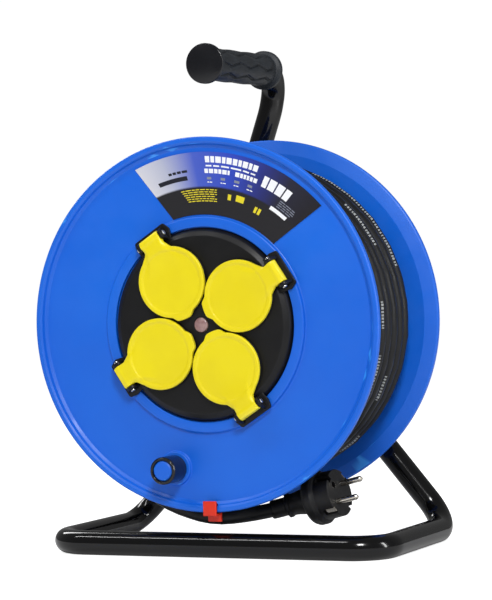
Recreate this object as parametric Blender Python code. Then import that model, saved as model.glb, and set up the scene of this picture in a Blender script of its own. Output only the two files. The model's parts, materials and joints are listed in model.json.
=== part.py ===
"""Extension cord reel on a bent tube stand, modelled as an assembly of separate pieces.

Drawing coordinates are in millimetres from the point where the drum's axis crosses the
plane of the front rim: +X to the right, +Y towards the rear, +Z up. The stand rests on
the plane Z = 0 of the scene, with the scene's origin under the middle of the object.
"""

import math

import bmesh
import bpy
from mathutils import Matrix, Vector

MM = 0.001                      # one millimetre in scene units
GAP = 0.3                       # clearance between pieces that touch
WELD = 0.015                    # points closer than this are one point

# ---- stand -------------------------------------------------------------------------
AXIS_HEIGHT = 187.2             # drum axis above the floor
TUBE_D = 20.0
TUBE_WALL = 1.2
TUBE_SIDES = 12
BASE_HALF_WIDTH = 142.6         # centreline of the side tubes
BASE_FRONT_Y = 9.0              # centreline of the front tube
BASE_REAR_STEP = 8.0            # side tubes would meet the legs this far behind the hub
BEND_R = 28.0                   # bends of the base
HUB_STANDOFF = 23.1             # centreline of the legs at the hub, behind the drum
RISER_KINK = (-47.0, 60.6)      # X, Z where the riser turns back over the axis
RISER_KINK_R = 60.0
RISER_TOP = (-6.5, 176.5)       # X, Z where the riser straightens
RISER_TOP_R = 80.0
HANDLE_Z = 209.0
ELBOW_R = 24.0
LEG_END = 13.0                  # free end of the left leg, from the hub
LEG_BOLT_AT = 27.0              # its bolt, from the hub
FLAT_THICK = 8.4                # the left leg's flattened end
FLAT_WIDEN = 1.25
FLAT_LENGTH = 26.0

GRIP_FRONT_Y = 17.0
GRIP_LENGTH = 124.0
GRIP_D = 26.0
GRIP_DISC_D = 32.6
GRIP_DISC_THICK = 4.0
GRIP_TUBE_STOP = 3.0            # tube end behind the grip's closed end

# ---- hub ---------------------------------------------------------------------------
HUB_PLATE_THICK = 4.0
HUB_PLATE_R = 19.0
HUB_PLATE_EAR_R = 12.5
SPINDLE_D = 20.0
SPINDLE_FLANGE_D = 32.0
SPINDLE_FLANGE_THICK = 2.8
SPINDLE_LENGTH = 59.0
AXLE_BOLT_D = 10.0
AXLE_BOLT_HEAD = 17.0           # across flats
AXLE_BOLT_HEAD_THICK = 7.0
LEG_BOLT_D = 8.0
LEG_BOLT_HEAD = 13.0
LEG_BOLT_HEAD_THICK = 5.3
RETAINER_D = 30.0
RETAINER_THICK = 2.4
BOLT_PROUD = 3.0                # thread standing out of a nut

# ---- drum --------------------------------------------------------------------------
DRUM_D = 300.0
DRUM_WIDTH = 142.9              # over both rims
RIM_DEPTH = 5.0                 # flange face behind its rim
RIM_WIDTH = 8.5
FLARE_WIDTH = 11.0              # inclined band inside the rim
FLARE_DEPTH = 2.6
FLANGE_THICK = 3.0
CORE_D = 168.0
CORE_WALL = 3.0
COLLAR_INNER_D = 156.0          # raised ring round the socket plate
COLLAR_OUTER_D = 173.0
COLLAR_HEIGHT = 3.0
LEDGE_INNER_D = 144.0
HUB_SLEEVE_D = 36.0
HUB_SLEEVE_LENGTH = 41.0
HUB_BOSS_D = 46.0
BUSH_D = 28.0
BUSH_FLANGE_D = 36.0
BUSH_FLANGE_THICK = 4.7
RIB_COUNT = 6
RIB_THICK = 3.0
RIB_HEIGHT = 3.5
DRUM_SEGMENTS = 40
SCREW_RADIUS = 76.0             # joining screws, from the axis
SCREW_D = 4.0
SCREW_HEAD_D = 8.4
SCREW_HEAD_THICK = 3.7
SCREW_LENGTH = 34.0
SCREW_SEAT = 12.5               # seat of the screw head behind the joint
POST_D = 12.6

# ---- socket plate and what is under it ----------------------------------------------
PLATE_D = 155.4
PLATE_THICK = 3.0
PLATE_RISE = 7.5                # plateau in front of the plate's foot
PLATEAU_D = 142.0
SOCKET_COUNT = 4
SOCKET_RADIUS = 41.5            # socket centres, from the axis
SOCKET_ANGLE = 33.2             # first socket, from +X towards +Z
SOCKET_COLLAR_D = 58.0
SOCKET_COLLAR_HEIGHT = 2.5
INSERT_D = 43.2
INSERT_WALL = 2.0
INSERT_WELL_DEPTH = 17.0
INSERT_FLOOR = 3.0
CONTACT_PITCH = 19.0
CONTACT_HOLE_D = 5.4
EARTH_PIN_D = 4.8
EARTH_PIN_OFFSET = 10.0         # towards the drum axis
EARTH_PIN_LENGTH = 20.0
EARTH_PIN_PROUD = 14.0          # inside the well
BUSBAR_THICK = 1.5
BUSBAR_WIDTH = 3.5
LIVE_BUSBAR_R = 50.0
NEUTRAL_BUSBAR_R = 31.0
SLEEVE_D = 8.0                  # contact sleeves
SLEEVE_BORE = 5.4
LIVE_BUSBAR_Y = 24.0
NEUTRAL_BUSBAR_Y = 29.0
COVER_D = 136.0
COVER_WALL = 2.0
COVER_FRONT_Y = 20.0
COVER_DEPTH = 22.0
GLAND_ANGLE = 200.0
GLAND_Y = 20.0
GLAND_D = 16.0
GLAND_FLANGE_D = 21.0
CLAMP_SIZE = (30.0, 10.0, 16.0)
CLAMP_AT = (-22.0, -26.0)       # X, Z on the back of the cover

# ---- lids ---------------------------------------------------------------------------
LID_D = 57.4
LID_THICK = 3.7
LID_SKIN = 1.4
LID_POCKET_D = 52.4
LID_ARM_WIDTH = 18.6
LID_TAB = 3.6                   # thumb tab beyond the disc
LID_TAB_HALF = 17.0             # degrees
LID_TAB_TURN = 13.0             # degrees from the line to the drum axis
HINGE_RADIUS = 78.5             # hinge pins, from the drum axis
HINGE_RISE = 3.0                # pin axis in front of the plateau
HINGE_SHIFT = -3.0              # middle of the pin, sideways from the socket's line
BARREL_D = 9.2
HINGE_PIN_D = 3.0
HINGE_PIN_HEAD_D = 4.4
HINGE_PIN_HEAD_THICK = 1.3
EAR_THICK = 2.8
EAR_TOP_D = 8.4
HINGE_PAD = (68.0, 87.0, 34.0)  # inner radius, outer radius, width
HINGE_PAD_THICK = 2.2
SPRING_POCKET_D = 7.2
SPRING_POCKET_LENGTH = 9.0
SPRING_D = 5.6                  # middle of the wire
SPRING_WIRE_D = 0.8
SPRING_TURNS = 3
GASKET_INNER_D = 45.2
GASKET_OUTER_D = 51.6

# ---- thermal cut-out and reset button ------------------------------------------------
BUTTON_D = 12.0
BUTTON_PROUD = 1.2
BUTTON_THICK = 3.4
BUTTON_STEM_D = 5.0
BUTTON_STEM_LENGTH = 8.0
BUTTON_TRAVEL = 2.0
CUTOUT_SIZE = 24.0
CUTOUT_DEPTH = 26.0
CUTOUT_NECK_D = 12.0
CUTOUT_NECK_LENGTH = 4.0

# ---- crank knob ----------------------------------------------------------------------
KNOB_ANGLE = 255.87             # degrees from +X towards +Z
KNOB_INSET = 31.2               # knob's axis inside the rim
KNOB_D = 22.0
KNOB_PROUD = 21.5               # in front of the rim plane
KNOB_BOSS_D = 26.8
KNOB_BOSS_HEIGHT = 2.5
KNOB_POST_D = 12.0
KNOB_CAP_D = 16.0
KNOB_CAP_THICK = 4.0

# ---- label and cable clip --------------------------------------------------------------
LABEL_THICK = 0.6
LABEL_INSET = 12.0              # label's outer edge inside the rim
LABEL_INNER_R = 88.0
LABEL_OUTER_ANGLES = (41.8, 114.8)
LABEL_INNER_ANGLES = (45.8, 106.5)
CLIP_WIDTH = 11.4
CLIP_X = 2.9
CLIP_WALL = 2.2
CLIP_TAB_INSET = 9.3            # upper end of the tab on the flange, inside the rim
CLIP_DROP = 8.2                 # lower end of the clip, outside the rim
CLIP_CABLE_Y = (9.4, 25.4)      # free space for the cable

# ---- cable and plug --------------------------------------------------------------------
CABLE_D = 12.0
WINDING_RECESS = 18.0           # outermost turn inside the rim
LEAD_ROUTE = (
    (-117.4, 22.0, -73.3),
    (-98.3, 19.5, -98.3),
    (-71.8, 17.0, -124.3),
    (-55.0, 15.8, -136.3),
    (-38.2, 15.2, -145.2),
    (-24.0, 15.0, -150.2),
    (-10.0, 15.3, -153.9),
    (3.0, 16.9, -155.3),
    (14.3, 21.3, -154.9),
    (26.0, 29.5, -153.6),
    (36.0, 37.0, -151.9),
    (46.0, 42.4, -149.6),
    (58.2, 44.6, -146.3),
    (69.8, 43.2, -143.4),
)
LEAD_STEP = 13.0
BOOT_LENGTH = 33.0
BOOT_REAR_D = 14.4
BOOT_FRONT_D = 18.0
PLUG_AT = (77.5, 42.2, -141.5)  # middle of the plug's collar
PLUG_RISE = 14.0                # degrees
PLUG_FORWARD = 0.12             # share of the axis that points forwards
PLUG_REAR = 7.7                 # rear face behind the collar
PLUG_COLLAR_D = 44.0
PLUG_FACE_D = 38.0
PLUG_FACE_AT = 21.5
PLUG_PIN_D = 4.8
PLUG_PIN_LENGTH = 19.0
PLUG_PIN_DEPTH = 9.0
PLUG_TURN = 45.0                # pin line about the plug's axis, degrees

# ---- values that follow from the ones above --------------------------------------------
TUBE_R = TUBE_D / 2
TUBE_REST = TUBE_R * math.cos(math.pi / TUBE_SIDES)    # centreline over a flat facet
BASE_Z = TUBE_REST - AXIS_HEIGHT
HUB_Y = DRUM_WIDTH + HUB_STANDOFF
KNOB_AT = ((DRUM_D / 2 - KNOB_INSET) * math.cos(math.radians(KNOB_ANGLE)),
           (DRUM_D / 2 - KNOB_INSET) * math.sin(math.radians(KNOB_ANGLE)))         # X, Z
BASE_REAR_Y = HUB_Y + BASE_REAR_STEP
WINDING_D = DRUM_D - 2 * WINDING_RECESS
INSERT_WELL_D = INSERT_D - 2 * INSERT_WALL
LABEL_OUTER_R = DRUM_D / 2 - LABEL_INSET
CLIP_TAB_R = DRUM_D / 2 - CLIP_TAB_INSET
CLIP_BOTTOM_R = DRUM_D / 2 + CLIP_DROP
FACE_Y = RIM_DEPTH
FLANGE_BACK_Y = FACE_Y + FLANGE_THICK
JOINT_Y = DRUM_WIDTH / 2
REAR_FLANGE_Y = DRUM_WIDTH - FLANGE_BACK_Y
REAR_FACE_Y = DRUM_WIDTH - FACE_Y
PLATEAU_Y = FACE_Y - PLATE_RISE
COLLAR_TOP_Y = PLATEAU_Y - SOCKET_COLLAR_HEIGHT
HINGE_Y = PLATEAU_Y - HINGE_RISE
PLATE_REAR_Y = HUB_Y - TUBE_R - GAP                    # hub plate's rear face
PLATE_FRONT_Y = PLATE_REAR_Y - HUB_PLATE_THICK
SPINDLE_REAR_Y = PLATE_FRONT_Y - GAP
SPINDLE_FRONT_Y = SPINDLE_REAR_Y - SPINDLE_LENGTH
AXLE_HEAD_Y = HUB_Y + TUBE_R + GAP
AXLE_END_Y = AXLE_HEAD_Y + AXLE_BOLT_HEAD_THICK        # rearmost point of the object
RETAINER_Y = SPINDLE_FRONT_Y - GAP - RETAINER_THICK
AXLE_NUT_THICK = 0.8 * AXLE_BOLT_D
FLAT_Y = PLATE_REAR_Y + GAP + FLAT_THICK / 2
INSERT_FLOOR_Y = COLLAR_TOP_Y + GAP + INSERT_WELL_DEPTH
INSERT_BACK_Y = INSERT_FLOOR_Y + INSERT_FLOOR
LID_FOOT_Y = COLLAR_TOP_Y - GAP
LID_FACE_Y = LID_FOOT_Y - LID_THICK
HINGE_REACH = HINGE_RADIUS - SOCKET_RADIUS
COVER_BACK_Y = COVER_FRONT_Y + COVER_DEPTH
LEG_ANGLE = math.atan2(-BASE_Z, BASE_HALF_WIDTH)
LEG_BOLT_XZ = (-LEG_BOLT_AT * math.cos(LEG_ANGLE), -LEG_BOLT_AT * math.sin(LEG_ANGLE))
ORIGIN_Y = (AXLE_END_Y - KNOB_PROUD) / 2               # middle of the object's depth

MATERIALS = {
    "blue_plastic": ((0.012, 0.125, 0.62), 0.38, 0.0),
    "black_plastic": ((0.012, 0.012, 0.014), 0.42, 0.0),
    "yellow_plastic": ((0.83, 0.72, 0.005), 0.4, 0.0),
    "red_plastic": ((0.8, 0.06, 0.01), 0.4, 0.0),
    "white_plastic": ((0.75, 0.75, 0.72), 0.45, 0.0),
    "membrane": ((0.55, 0.38, 0.37), 0.35, 0.0),
    "gloss_black_paint": ((0.008, 0.008, 0.009), 0.12, 0.0),
    "grip_rubber": ((0.03, 0.033, 0.037), 0.6, 0.0),
    "cable_rubber": ((0.012, 0.012, 0.013), 0.55, 0.0),
    "label_print": ((0.05, 0.06, 0.25), 0.3, 0.0),
    "zinc_steel": ((0.62, 0.62, 0.6), 0.3, 1.0),
    "brass": ((0.72, 0.52, 0.2), 0.3, 1.0),
    "nickel": ((0.75, 0.72, 0.66), 0.22, 1.0),
}


# ======================================================================================
# modelling helpers
# ======================================================================================

def clear_scene():
    for obj in list(bpy.data.objects):
        bpy.data.objects.remove(obj, do_unlink=True)


def material(name):
    found = bpy.data.materials.get(name)
    if found:
        return found
    colour, roughness, metallic = MATERIALS[name]
    made = bpy.data.materials.new(name)
    made.use_nodes = True
    shader = made.node_tree.nodes["Principled BSDF"]
    shader.inputs["Base Color"].default_value = (*colour, 1.0)
    shader.inputs["Roughness"].default_value = roughness
    shader.inputs["Metallic"].default_value = metallic
    return made


def add_empty(name, location, rotation=(0, 0, 0), parent=None):
    empty = bpy.data.objects.new(name, None)
    bpy.context.scene.collection.objects.link(empty)
    empty.location = Vector(location) * MM
    empty.rotation_euler = rotation
    empty.parent = parent
    return empty


def add_object(name, bm, slot, parent=None, location=(0, 0, 0)):
    """Turn a bmesh drawn in millimetres into an object with outward faces."""
    bmesh.ops.recalc_face_normals(bm, faces=bm.faces)
    bmesh.ops.scale(bm, vec=(MM, MM, MM), verts=bm.verts)
    mesh = bpy.data.meshes.new(name)
    bm.to_mesh(mesh)
    bm.free()
    obj = bpy.data.objects.new(name, mesh)
    bpy.context.scene.collection.objects.link(obj)
    obj.location = Vector(location) * MM
    obj.parent = parent
    if slot:
        mesh.materials.append(material(slot))
    mesh.shade_smooth()
    mesh.set_sharp_from_angle(angle=math.radians(35))
    return obj


def boolean(target, tool_bm, operation):
    """Cut or join target with a tool drawn in the target's own coordinates."""
    tool = add_object("tool", tool_bm, None, target.parent, target.location / MM)
    tool.hide_render = True
    tool.display_type = "WIRE"
    modifier = target.modifiers.new("boolean", "BOOLEAN")
    modifier.operation = operation
    modifier.object = tool
    modifier.solver = "EXACT"
    bpy.context.view_layer.update()
    evaluated = target.evaluated_get(bpy.context.evaluated_depsgraph_get())
    mesh = bpy.data.meshes.new_from_object(evaluated)
    bm = bmesh.new()
    bm.from_mesh(mesh)
    bmesh.ops.remove_doubles(bm, verts=bm.verts, dist=WELD * MM)
    bmesh.ops.dissolve_degenerate(bm, edges=bm.edges, dist=WELD * MM)
    bm.to_mesh(mesh)
    bm.free()
    target.modifiers.clear()
    old = target.data
    target.data = mesh
    mesh.name = target.name
    bpy.data.objects.remove(tool, do_unlink=True)
    bpy.data.meshes.remove(old)
    return target


def cut(target, tool_bm):
    return boolean(target, tool_bm, "DIFFERENCE")


def join(target, tool_bm):
    return boolean(target, tool_bm, "UNION")


def lathe(profile, segments, centre=(0.0, 0.0)):
    """Turn a closed outline of (radius, y) points about the Y axis at centre (x, z)."""
    bm = bmesh.new()
    rings = []
    for radius, y in profile:
        if radius == 0:
            rings.append([bm.verts.new((centre[0], y, centre[1]))])
            continue
        ring = []
        for i in range(segments):
            angle = 2 * math.pi * i / segments
            x = centre[0] + radius * math.cos(angle)
            z = centre[1] + radius * math.sin(angle)
            ring.append(bm.verts.new((x, y, z)))
        rings.append(ring)
    for i, ring in enumerate(rings):
        following = rings[(i + 1) % len(rings)]
        if len(ring) == 1 and len(following) == 1:
            continue
        for j in range(segments):
            k = (j + 1) % segments
            if len(ring) == 1:
                bm.faces.new((ring[0], following[k], following[j]))
            elif len(following) == 1:
                bm.faces.new((ring[j], ring[k], following[0]))
            else:
                bm.faces.new((ring[j], ring[k], following[k], following[j]))
    return bm


def cylinder(radius, y0, y1, segments=24, centre=(0.0, 0.0)):
    return lathe([(0, y0), (radius, y0), (radius, y1), (0, y1)], segments, centre)


def tube(inner, outer, y0, y1, segments=24, centre=(0.0, 0.0)):
    outline = [(inner, y0), (outer, y0), (outer, y1), (inner, y1)]
    return lathe(outline, segments, centre)


def prism(outline, y0, y1):
    """Extrude a closed outline of (x, z) points from y0 to y1."""
    bm = bmesh.new()
    near = [bm.verts.new((x, y0, z)) for x, z in outline]
    far = [bm.verts.new((x, y1, z)) for x, z in outline]
    bm.faces.new(near)
    bm.faces.new(list(reversed(far)))
    for i in range(len(outline)):
        j = (i + 1) % len(outline)
        bm.faces.new((near[j], near[i], far[i], far[j]))
    return bm


def turned(bm, matrix):
    bmesh.ops.transform(bm, matrix=matrix, verts=bm.verts)
    return bm


def about_x(bm):
    """Turn a shape drawn along +Y so that it runs along +X."""
    return turned(bm, Matrix.Rotation(math.radians(-90), 4, "Z"))


def about_z(bm):
    """Turn a shape drawn along +Y so that it runs along +Z."""
    return turned(bm, Matrix.Rotation(math.radians(90), 4, "X"))


def moved(bm, offset):
    return turned(bm, Matrix.Translation(Vector(offset)))


def box(low, high):
    outline = [(low[0], low[2]), (high[0], low[2]), (high[0], high[2]), (low[0], high[2])]
    return prism(outline, low[1], high[1])


def arc(centre, radius, start, end, steps):
    """Points (x, z) on an arc, angles in degrees."""
    points = []
    for i in range(steps + 1):
        angle = math.radians(start + (end - start) * i / steps)
        points.append((centre[0] + radius * math.cos(angle),
                       centre[1] + radius * math.sin(angle)))
    return points


def hexagon(across_flats):
    return arc((0, 0), across_flats / math.sqrt(3), 0, 300, 5)


def polar(radius, degrees):
    angle = math.radians(degrees)
    return (radius * math.cos(angle), radius * math.sin(angle))


def convex_outline(points):
    """Convex outline round a set of (x, z) points."""
    points = sorted(set(points))
    chains = []
    for ordered in (points, points[::-1]):
        chain = []
        for p in ordered:
            while len(chain) > 1:
                a, b = chain[-2], chain[-1]
                turn = (b[0] - a[0]) * (p[1] - a[1]) - (b[1] - a[1]) * (p[0] - a[0])
                if turn > 1e-9:
                    break
                chain.pop()
            chain.append(p)
        chains.append(chain[:-1])
    return chains[0] + chains[1]


def filleted(corners, radii, steps=5):
    """Path through corners, each inner one rounded to its radius (0 keeps it sharp)."""
    corners = [Vector(c) for c in corners]
    path = [corners[0]]
    for before, corner, after, radius in zip(corners, corners[1:], corners[2:], radii):
        if radius == 0:
            path.append(corner)
            continue
        to_before = (before - corner).normalized()
        to_after = (after - corner).normalized()
        half = to_before.angle(to_after) / 2
        centre = corner + (to_before + to_after).normalized() * radius / math.sin(half)
        first = corner + to_before * radius / math.tan(half) - centre
        last = corner + to_after * radius / math.tan(half) - centre
        count = max(2, round(steps * (math.pi - 2 * half) / (math.pi / 2)))
        for i in range(count + 1):
            path.append(centre + first.slerp(last, i / count) * radius)
    path.append(corners[-1])
    return path


def frames_along(path, start, up):
    """A tangent and two normals for each point, carried both ways from path[start]."""
    count = len(path)
    tangents = []
    for i in range(count):
        into = (path[i] - path[max(i - 1, 0)]).normalized()
        out_of = (path[min(i + 1, count - 1)] - path[i]).normalized()
        tangents.append((into + out_of).normalized())
    normals = [None] * count
    normals[start] = (up - up.project(tangents[start])).normalized()
    for order in (range(start + 1, count), range(start - 1, -1, -1)):
        last = start
        for i in order:
            turn = tangents[last].rotation_difference(tangents[i])
            normals[i] = (turn @ normals[last]).normalized()
            last = i
    return [(t, n, t.cross(n)) for t, n in zip(tangents, normals)]


def smooth_route(points, step):
    """Evenly spaced points on a smooth curve through the route's own points."""
    knots = [Vector(p) for p in points]
    knots = [2 * knots[0] - knots[1]] + knots + [2 * knots[-1] - knots[-2]]
    fine = []
    for a, b, c, d in zip(knots, knots[1:], knots[2:], knots[3:]):
        for i in range(20):
            t = i / 20
            fine.append(0.5 * ((2 * b) + (c - a) * t + (2 * a - 5 * b + 4 * c - d) * t * t
                               + (3 * b - a - 3 * c + d) * t ** 3))
    fine.append(knots[-2])
    length = sum((q - p).length for p, q in zip(fine, fine[1:]))
    count = max(2, round(length / step))
    spaced = [fine[0]]
    travelled = 0.0
    for p, q in zip(fine, fine[1:]):
        run = (q - p).length
        while len(spaced) < count and travelled + run >= length * len(spaced) / count:
            share = (length * len(spaced) / count - travelled) / run
            spaced.append(p.lerp(q, share))
        travelled += run
    spaced.append(fine[-1])
    return spaced


def swept(path, frames, sides, radius_at):
    """A solid round bar along path, capped at both ends."""
    bm = bmesh.new()
    rings = []
    for i, (point, frame) in enumerate(zip(path, frames)):
        rings.append(ring_at(bm, point, frame, sides, radius_at(i)))
    skin_rings(bm, rings)
    bm.faces.new(rings[0])
    bm.faces.new(rings[-1][::-1])
    return bm


def ring_at(bm, point, frame, sides, radius, shape=None):
    ring = []
    for j in range(sides):
        angle = 2 * math.pi * (j + 0.5) / sides
        offset = (frame[1] * math.cos(angle) + frame[2] * math.sin(angle)) * radius
        if shape:
            offset = shape(offset)
        ring.append(bm.verts.new(point + offset))
    return ring


def skin_rings(bm, rings):
    for a, b in zip(rings, rings[1:]):
        for j in range(len(a)):
            k = (j + 1) % len(a)
            bm.faces.new((a[j], a[k], b[k], b[j]))


# ======================================================================================
# stand
# ======================================================================================

def frame_path():
    left = Vector((-BASE_HALF_WIDTH, BASE_REAR_Y, BASE_Z))
    hub = Vector((0, HUB_Y, 0))
    leg = (left - hub).normalized()
    corners = [
        hub + leg * LEG_END,
        hub + leg * (LEG_END + FLAT_LENGTH),
        hub + leg * (LEG_END + FLAT_LENGTH + TUBE_D),
        left,
        (-BASE_HALF_WIDTH, BASE_FRONT_Y, BASE_Z),
        (0, BASE_FRONT_Y, BASE_Z),
        (BASE_HALF_WIDTH, BASE_FRONT_Y, BASE_Z),
        (BASE_HALF_WIDTH, BASE_REAR_Y, BASE_Z),
        hub,
        (RISER_KINK[0], HUB_Y, RISER_KINK[1]),
        (RISER_TOP[0], HUB_Y, RISER_TOP[1]),
        (0, HUB_Y, HANDLE_Z),
        (0, GRIP_FRONT_Y + GRIP_DISC_THICK + GRIP_TUBE_STOP, HANDLE_Z),
    ]
    radii = [0, 0, BEND_R, BEND_R, 0, BEND_R, BEND_R, 0, RISER_KINK_R, RISER_TOP_R, ELBOW_R]
    return filleted(corners, radii)


def flattened(offset, share, leg_normal):
    """Squeeze a tube section along Y and widen it across the leg."""
    squeeze = 1 + (FLAT_THICK / TUBE_D - 1) * share
    widen = 1 + (FLAT_WIDEN - 1) * share
    across = offset.dot(leg_normal)
    along_y = offset.y
    rest = offset - leg_normal * across - Vector((0, along_y, 0))
    return rest + leg_normal * across * widen + Vector((0, along_y * squeeze, 0))


def build_frame_tube(parent):
    path = frame_path()
    front = min(range(len(path)), key=lambda i: abs(path[i].x) + abs(path[i].y - BASE_FRONT_Y)
                + abs(path[i].z - BASE_Z))
    frames = frames_along(path, front, Vector((0, 0, 1)))
    leg = (path[1] - path[0]).normalized()
    leg_normal = leg.cross(Vector((0, 1, 0))).normalized()
    bm = bmesh.new()
    outer, inner = [], []
    for i, (point, frame) in enumerate(zip(path, frames)):
        share = 1.0 if i < 2 else 0.0
        centre = point.copy()
        if share:
            centre.y = FLAT_Y
        bore = TUBE_R - TUBE_WALL

        def shape(offset, share=share):
            return flattened(offset, share, leg_normal)

        outer.append(ring_at(bm, centre, frame, TUBE_SIDES, TUBE_R, shape))
        inner.append(ring_at(bm, centre, frame, TUBE_SIDES, bore, shape))
    skin_rings(bm, outer)
    skin_rings(bm, [ring[::-1] for ring in inner])
    for end in (0, -1):
        for j in range(TUBE_SIDES):
            k = (j + 1) % TUBE_SIDES
            bm.faces.new((outer[end][j], outer[end][k], inner[end][k], inner[end][j]))
    frame_tube = add_object("frame_tube", bm, "gloss_black_paint", parent)
    reach = TUBE_D + FLAT_THICK
    cut(frame_tube, cylinder(AXLE_BOLT_D / 2 + GAP, HUB_Y - reach, HUB_Y + reach, 16))
    cut(frame_tube, cylinder(LEG_BOLT_D / 2 + GAP, FLAT_Y - reach, FLAT_Y + reach, 16,
                             LEG_BOLT_XZ))


def build_grip(parent):
    back = GRIP_FRONT_Y + GRIP_LENGTH
    disc_r = GRIP_DISC_D / 2
    bore = TUBE_R + GAP
    floor = GRIP_FRONT_Y + GRIP_DISC_THICK
    profile = [
        (0, GRIP_FRONT_Y), (disc_r - 1, GRIP_FRONT_Y), (disc_r, GRIP_FRONT_Y + 1),
        (disc_r, floor - 1), (disc_r - 1, floor), (GRIP_D / 2, floor + 1),
        (GRIP_D / 2, back - GRIP_DISC_THICK - 1), (disc_r - 1, back - GRIP_DISC_THICK),
        (disc_r, back - GRIP_DISC_THICK + 1), (disc_r, back - 1), (disc_r - 1, back),
        (bore, back), (bore, floor + 1), (0, floor + 1),
    ]
    add_object("handle_grip", moved(lathe(profile, 24), (0, 0, HANDLE_Z)), "grip_rubber",
               parent)


def build_hub(parent):
    ears = [LEG_BOLT_XZ, (-LEG_BOLT_XZ[0], LEG_BOLT_XZ[1])]
    points = arc((0, 0), HUB_PLATE_R, 0, 350, 28)
    for ear in ears:
        points += arc(ear, HUB_PLATE_EAR_R, 0, 350, 20)
    plate = prism(convex_outline(points), PLATE_FRONT_Y, PLATE_REAR_Y)
    hub_plate = add_object("hub_plate", plate, "gloss_black_paint", parent)
    through = (PLATE_FRONT_Y - 1, PLATE_REAR_Y + 1)
    cut(hub_plate, cylinder(AXLE_BOLT_D / 2 + GAP, *through, 20))
    cut(hub_plate, cylinder(LEG_BOLT_D / 2 + GAP, *through, 20, LEG_BOLT_XZ))

    bore = AXLE_BOLT_D / 2 + GAP
    shoulder = SPINDLE_REAR_Y - SPINDLE_FLANGE_THICK
    spindle = [
        (bore, SPINDLE_FRONT_Y), (SPINDLE_D / 2, SPINDLE_FRONT_Y), (SPINDLE_D / 2, shoulder),
        (SPINDLE_FLANGE_D / 2, shoulder), (SPINDLE_FLANGE_D / 2, SPINDLE_REAR_Y),
        (bore, SPINDLE_REAR_Y),
    ]
    add_object("spindle", lathe(spindle, 24), "zinc_steel", parent)
    add_object("retaining_washer",
               tube(bore, RETAINER_D / 2, RETAINER_Y, RETAINER_Y + RETAINER_THICK),
               "zinc_steel", parent)
    nut_y = RETAINER_Y - GAP - AXLE_NUT_THICK
    bolt = add_object("axle_bolt", prism(hexagon(AXLE_BOLT_HEAD), AXLE_HEAD_Y, AXLE_END_Y),
                      "zinc_steel", parent)
    join(bolt, cylinder(AXLE_BOLT_D / 2, nut_y - BOLT_PROUD, AXLE_HEAD_Y + 2, 20))
    nut = add_object("axle_nut",
                     prism(hexagon(AXLE_BOLT_HEAD), nut_y, nut_y + AXLE_NUT_THICK),
                     "zinc_steel", parent)
    cut(nut, cylinder(bore, nut_y - 1, nut_y + AXLE_NUT_THICK + 1, 20))

    leg_bolt = (LEG_BOLT_XZ[0], 0, LEG_BOLT_XZ[1])
    head_y = FLAT_Y + FLAT_THICK / 2 + GAP
    leg_nut_thick = 0.8 * LEG_BOLT_D
    leg_nut_y = PLATE_FRONT_Y - GAP - leg_nut_thick
    head = prism(hexagon(LEG_BOLT_HEAD), head_y, head_y + LEG_BOLT_HEAD_THICK)
    bolt = add_object("leg_bolt", head, "zinc_steel", parent, leg_bolt)
    join(bolt, cylinder(LEG_BOLT_D / 2, leg_nut_y + 0.5, head_y + 2, 16))
    nut = add_object("leg_nut",
                     prism(hexagon(LEG_BOLT_HEAD), leg_nut_y, leg_nut_y + leg_nut_thick),
                     "zinc_steel", parent, leg_bolt)
    cut(nut, cylinder(LEG_BOLT_D / 2 + GAP, leg_nut_y - 1, leg_nut_y + leg_nut_thick + 1, 16))


# ======================================================================================
# drum
# ======================================================================================

def rim_profile():
    """Outer end of a flange, from its face round the rim to its inner side."""
    outer = DRUM_D / 2
    inner = outer - RIM_WIDTH
    return [
        (inner, RIM_DEPTH), (inner + 2, RIM_DEPTH - 1.5), (inner + 3, 1.2), (inner + 5, 0.0),
        (outer - 1.5, 0.0), (outer, 1.5), (outer, RIM_DEPTH - 0.4),
        (outer - 1.2, RIM_DEPTH + FLANGE_THICK - FLARE_DEPTH),
        (outer - FLARE_WIDTH, RIM_DEPTH + FLANGE_THICK),
    ]


def screw_places():
    for i in range(SOCKET_COUNT):
        angle = SOCKET_ANGLE + 360 / SOCKET_COUNT * (i + 0.5)
        yield i + 1, polar(SCREW_RADIUS, angle)


def build_front_half(parent):
    core = CORE_D / 2
    bore = core - CORE_WALL
    collar_y = FACE_Y - COLLAR_HEIGHT
    ledge_y = FACE_Y + GAP
    profile = [
        (LEDGE_INNER_D / 2, ledge_y), (COLLAR_INNER_D / 2, ledge_y),
        (COLLAR_INNER_D / 2, collar_y + 0.6), (COLLAR_INNER_D / 2 + 0.6, collar_y),
        (COLLAR_OUTER_D / 2 - 0.9, collar_y), (COLLAR_OUTER_D / 2, collar_y + 0.9),
        (COLLAR_OUTER_D / 2, FACE_Y),
    ]
    profile += rim_profile()
    profile += [
        (core, FLANGE_BACK_Y), (core, JOINT_Y - GAP), (bore, JOINT_Y - GAP),
        (bore, FLANGE_BACK_Y), (LEDGE_INNER_D / 2, FLANGE_BACK_Y),
    ]
    half = add_object("front_drum_half", lathe(profile, DRUM_SEGMENTS), "blue_plastic", parent)
    post_front = COVER_BACK_Y - COVER_DEPTH / 2
    for _, place in screw_places():
        join(half, cylinder(POST_D / 2, post_front, JOINT_Y - 2 * GAP, 16, place))
        cut(half, cylinder(SCREW_D / 2 + GAP, JOINT_Y - SCREW_LENGTH, JOINT_Y + 1, 12, place))
    join(half, cylinder(KNOB_BOSS_D / 2, FACE_Y - KNOB_BOSS_HEIGHT, FACE_Y + 1, 32, KNOB_AT))
    cut(half, cylinder(KNOB_POST_D / 2 + GAP, FACE_Y - KNOB_BOSS_HEIGHT - 1,
                       FLANGE_BACK_Y + 1, 24, KNOB_AT))
    cut(half, radial(cylinder(GLAND_D / 2 + GAP, bore - 6, core + 4, 20)))


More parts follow.
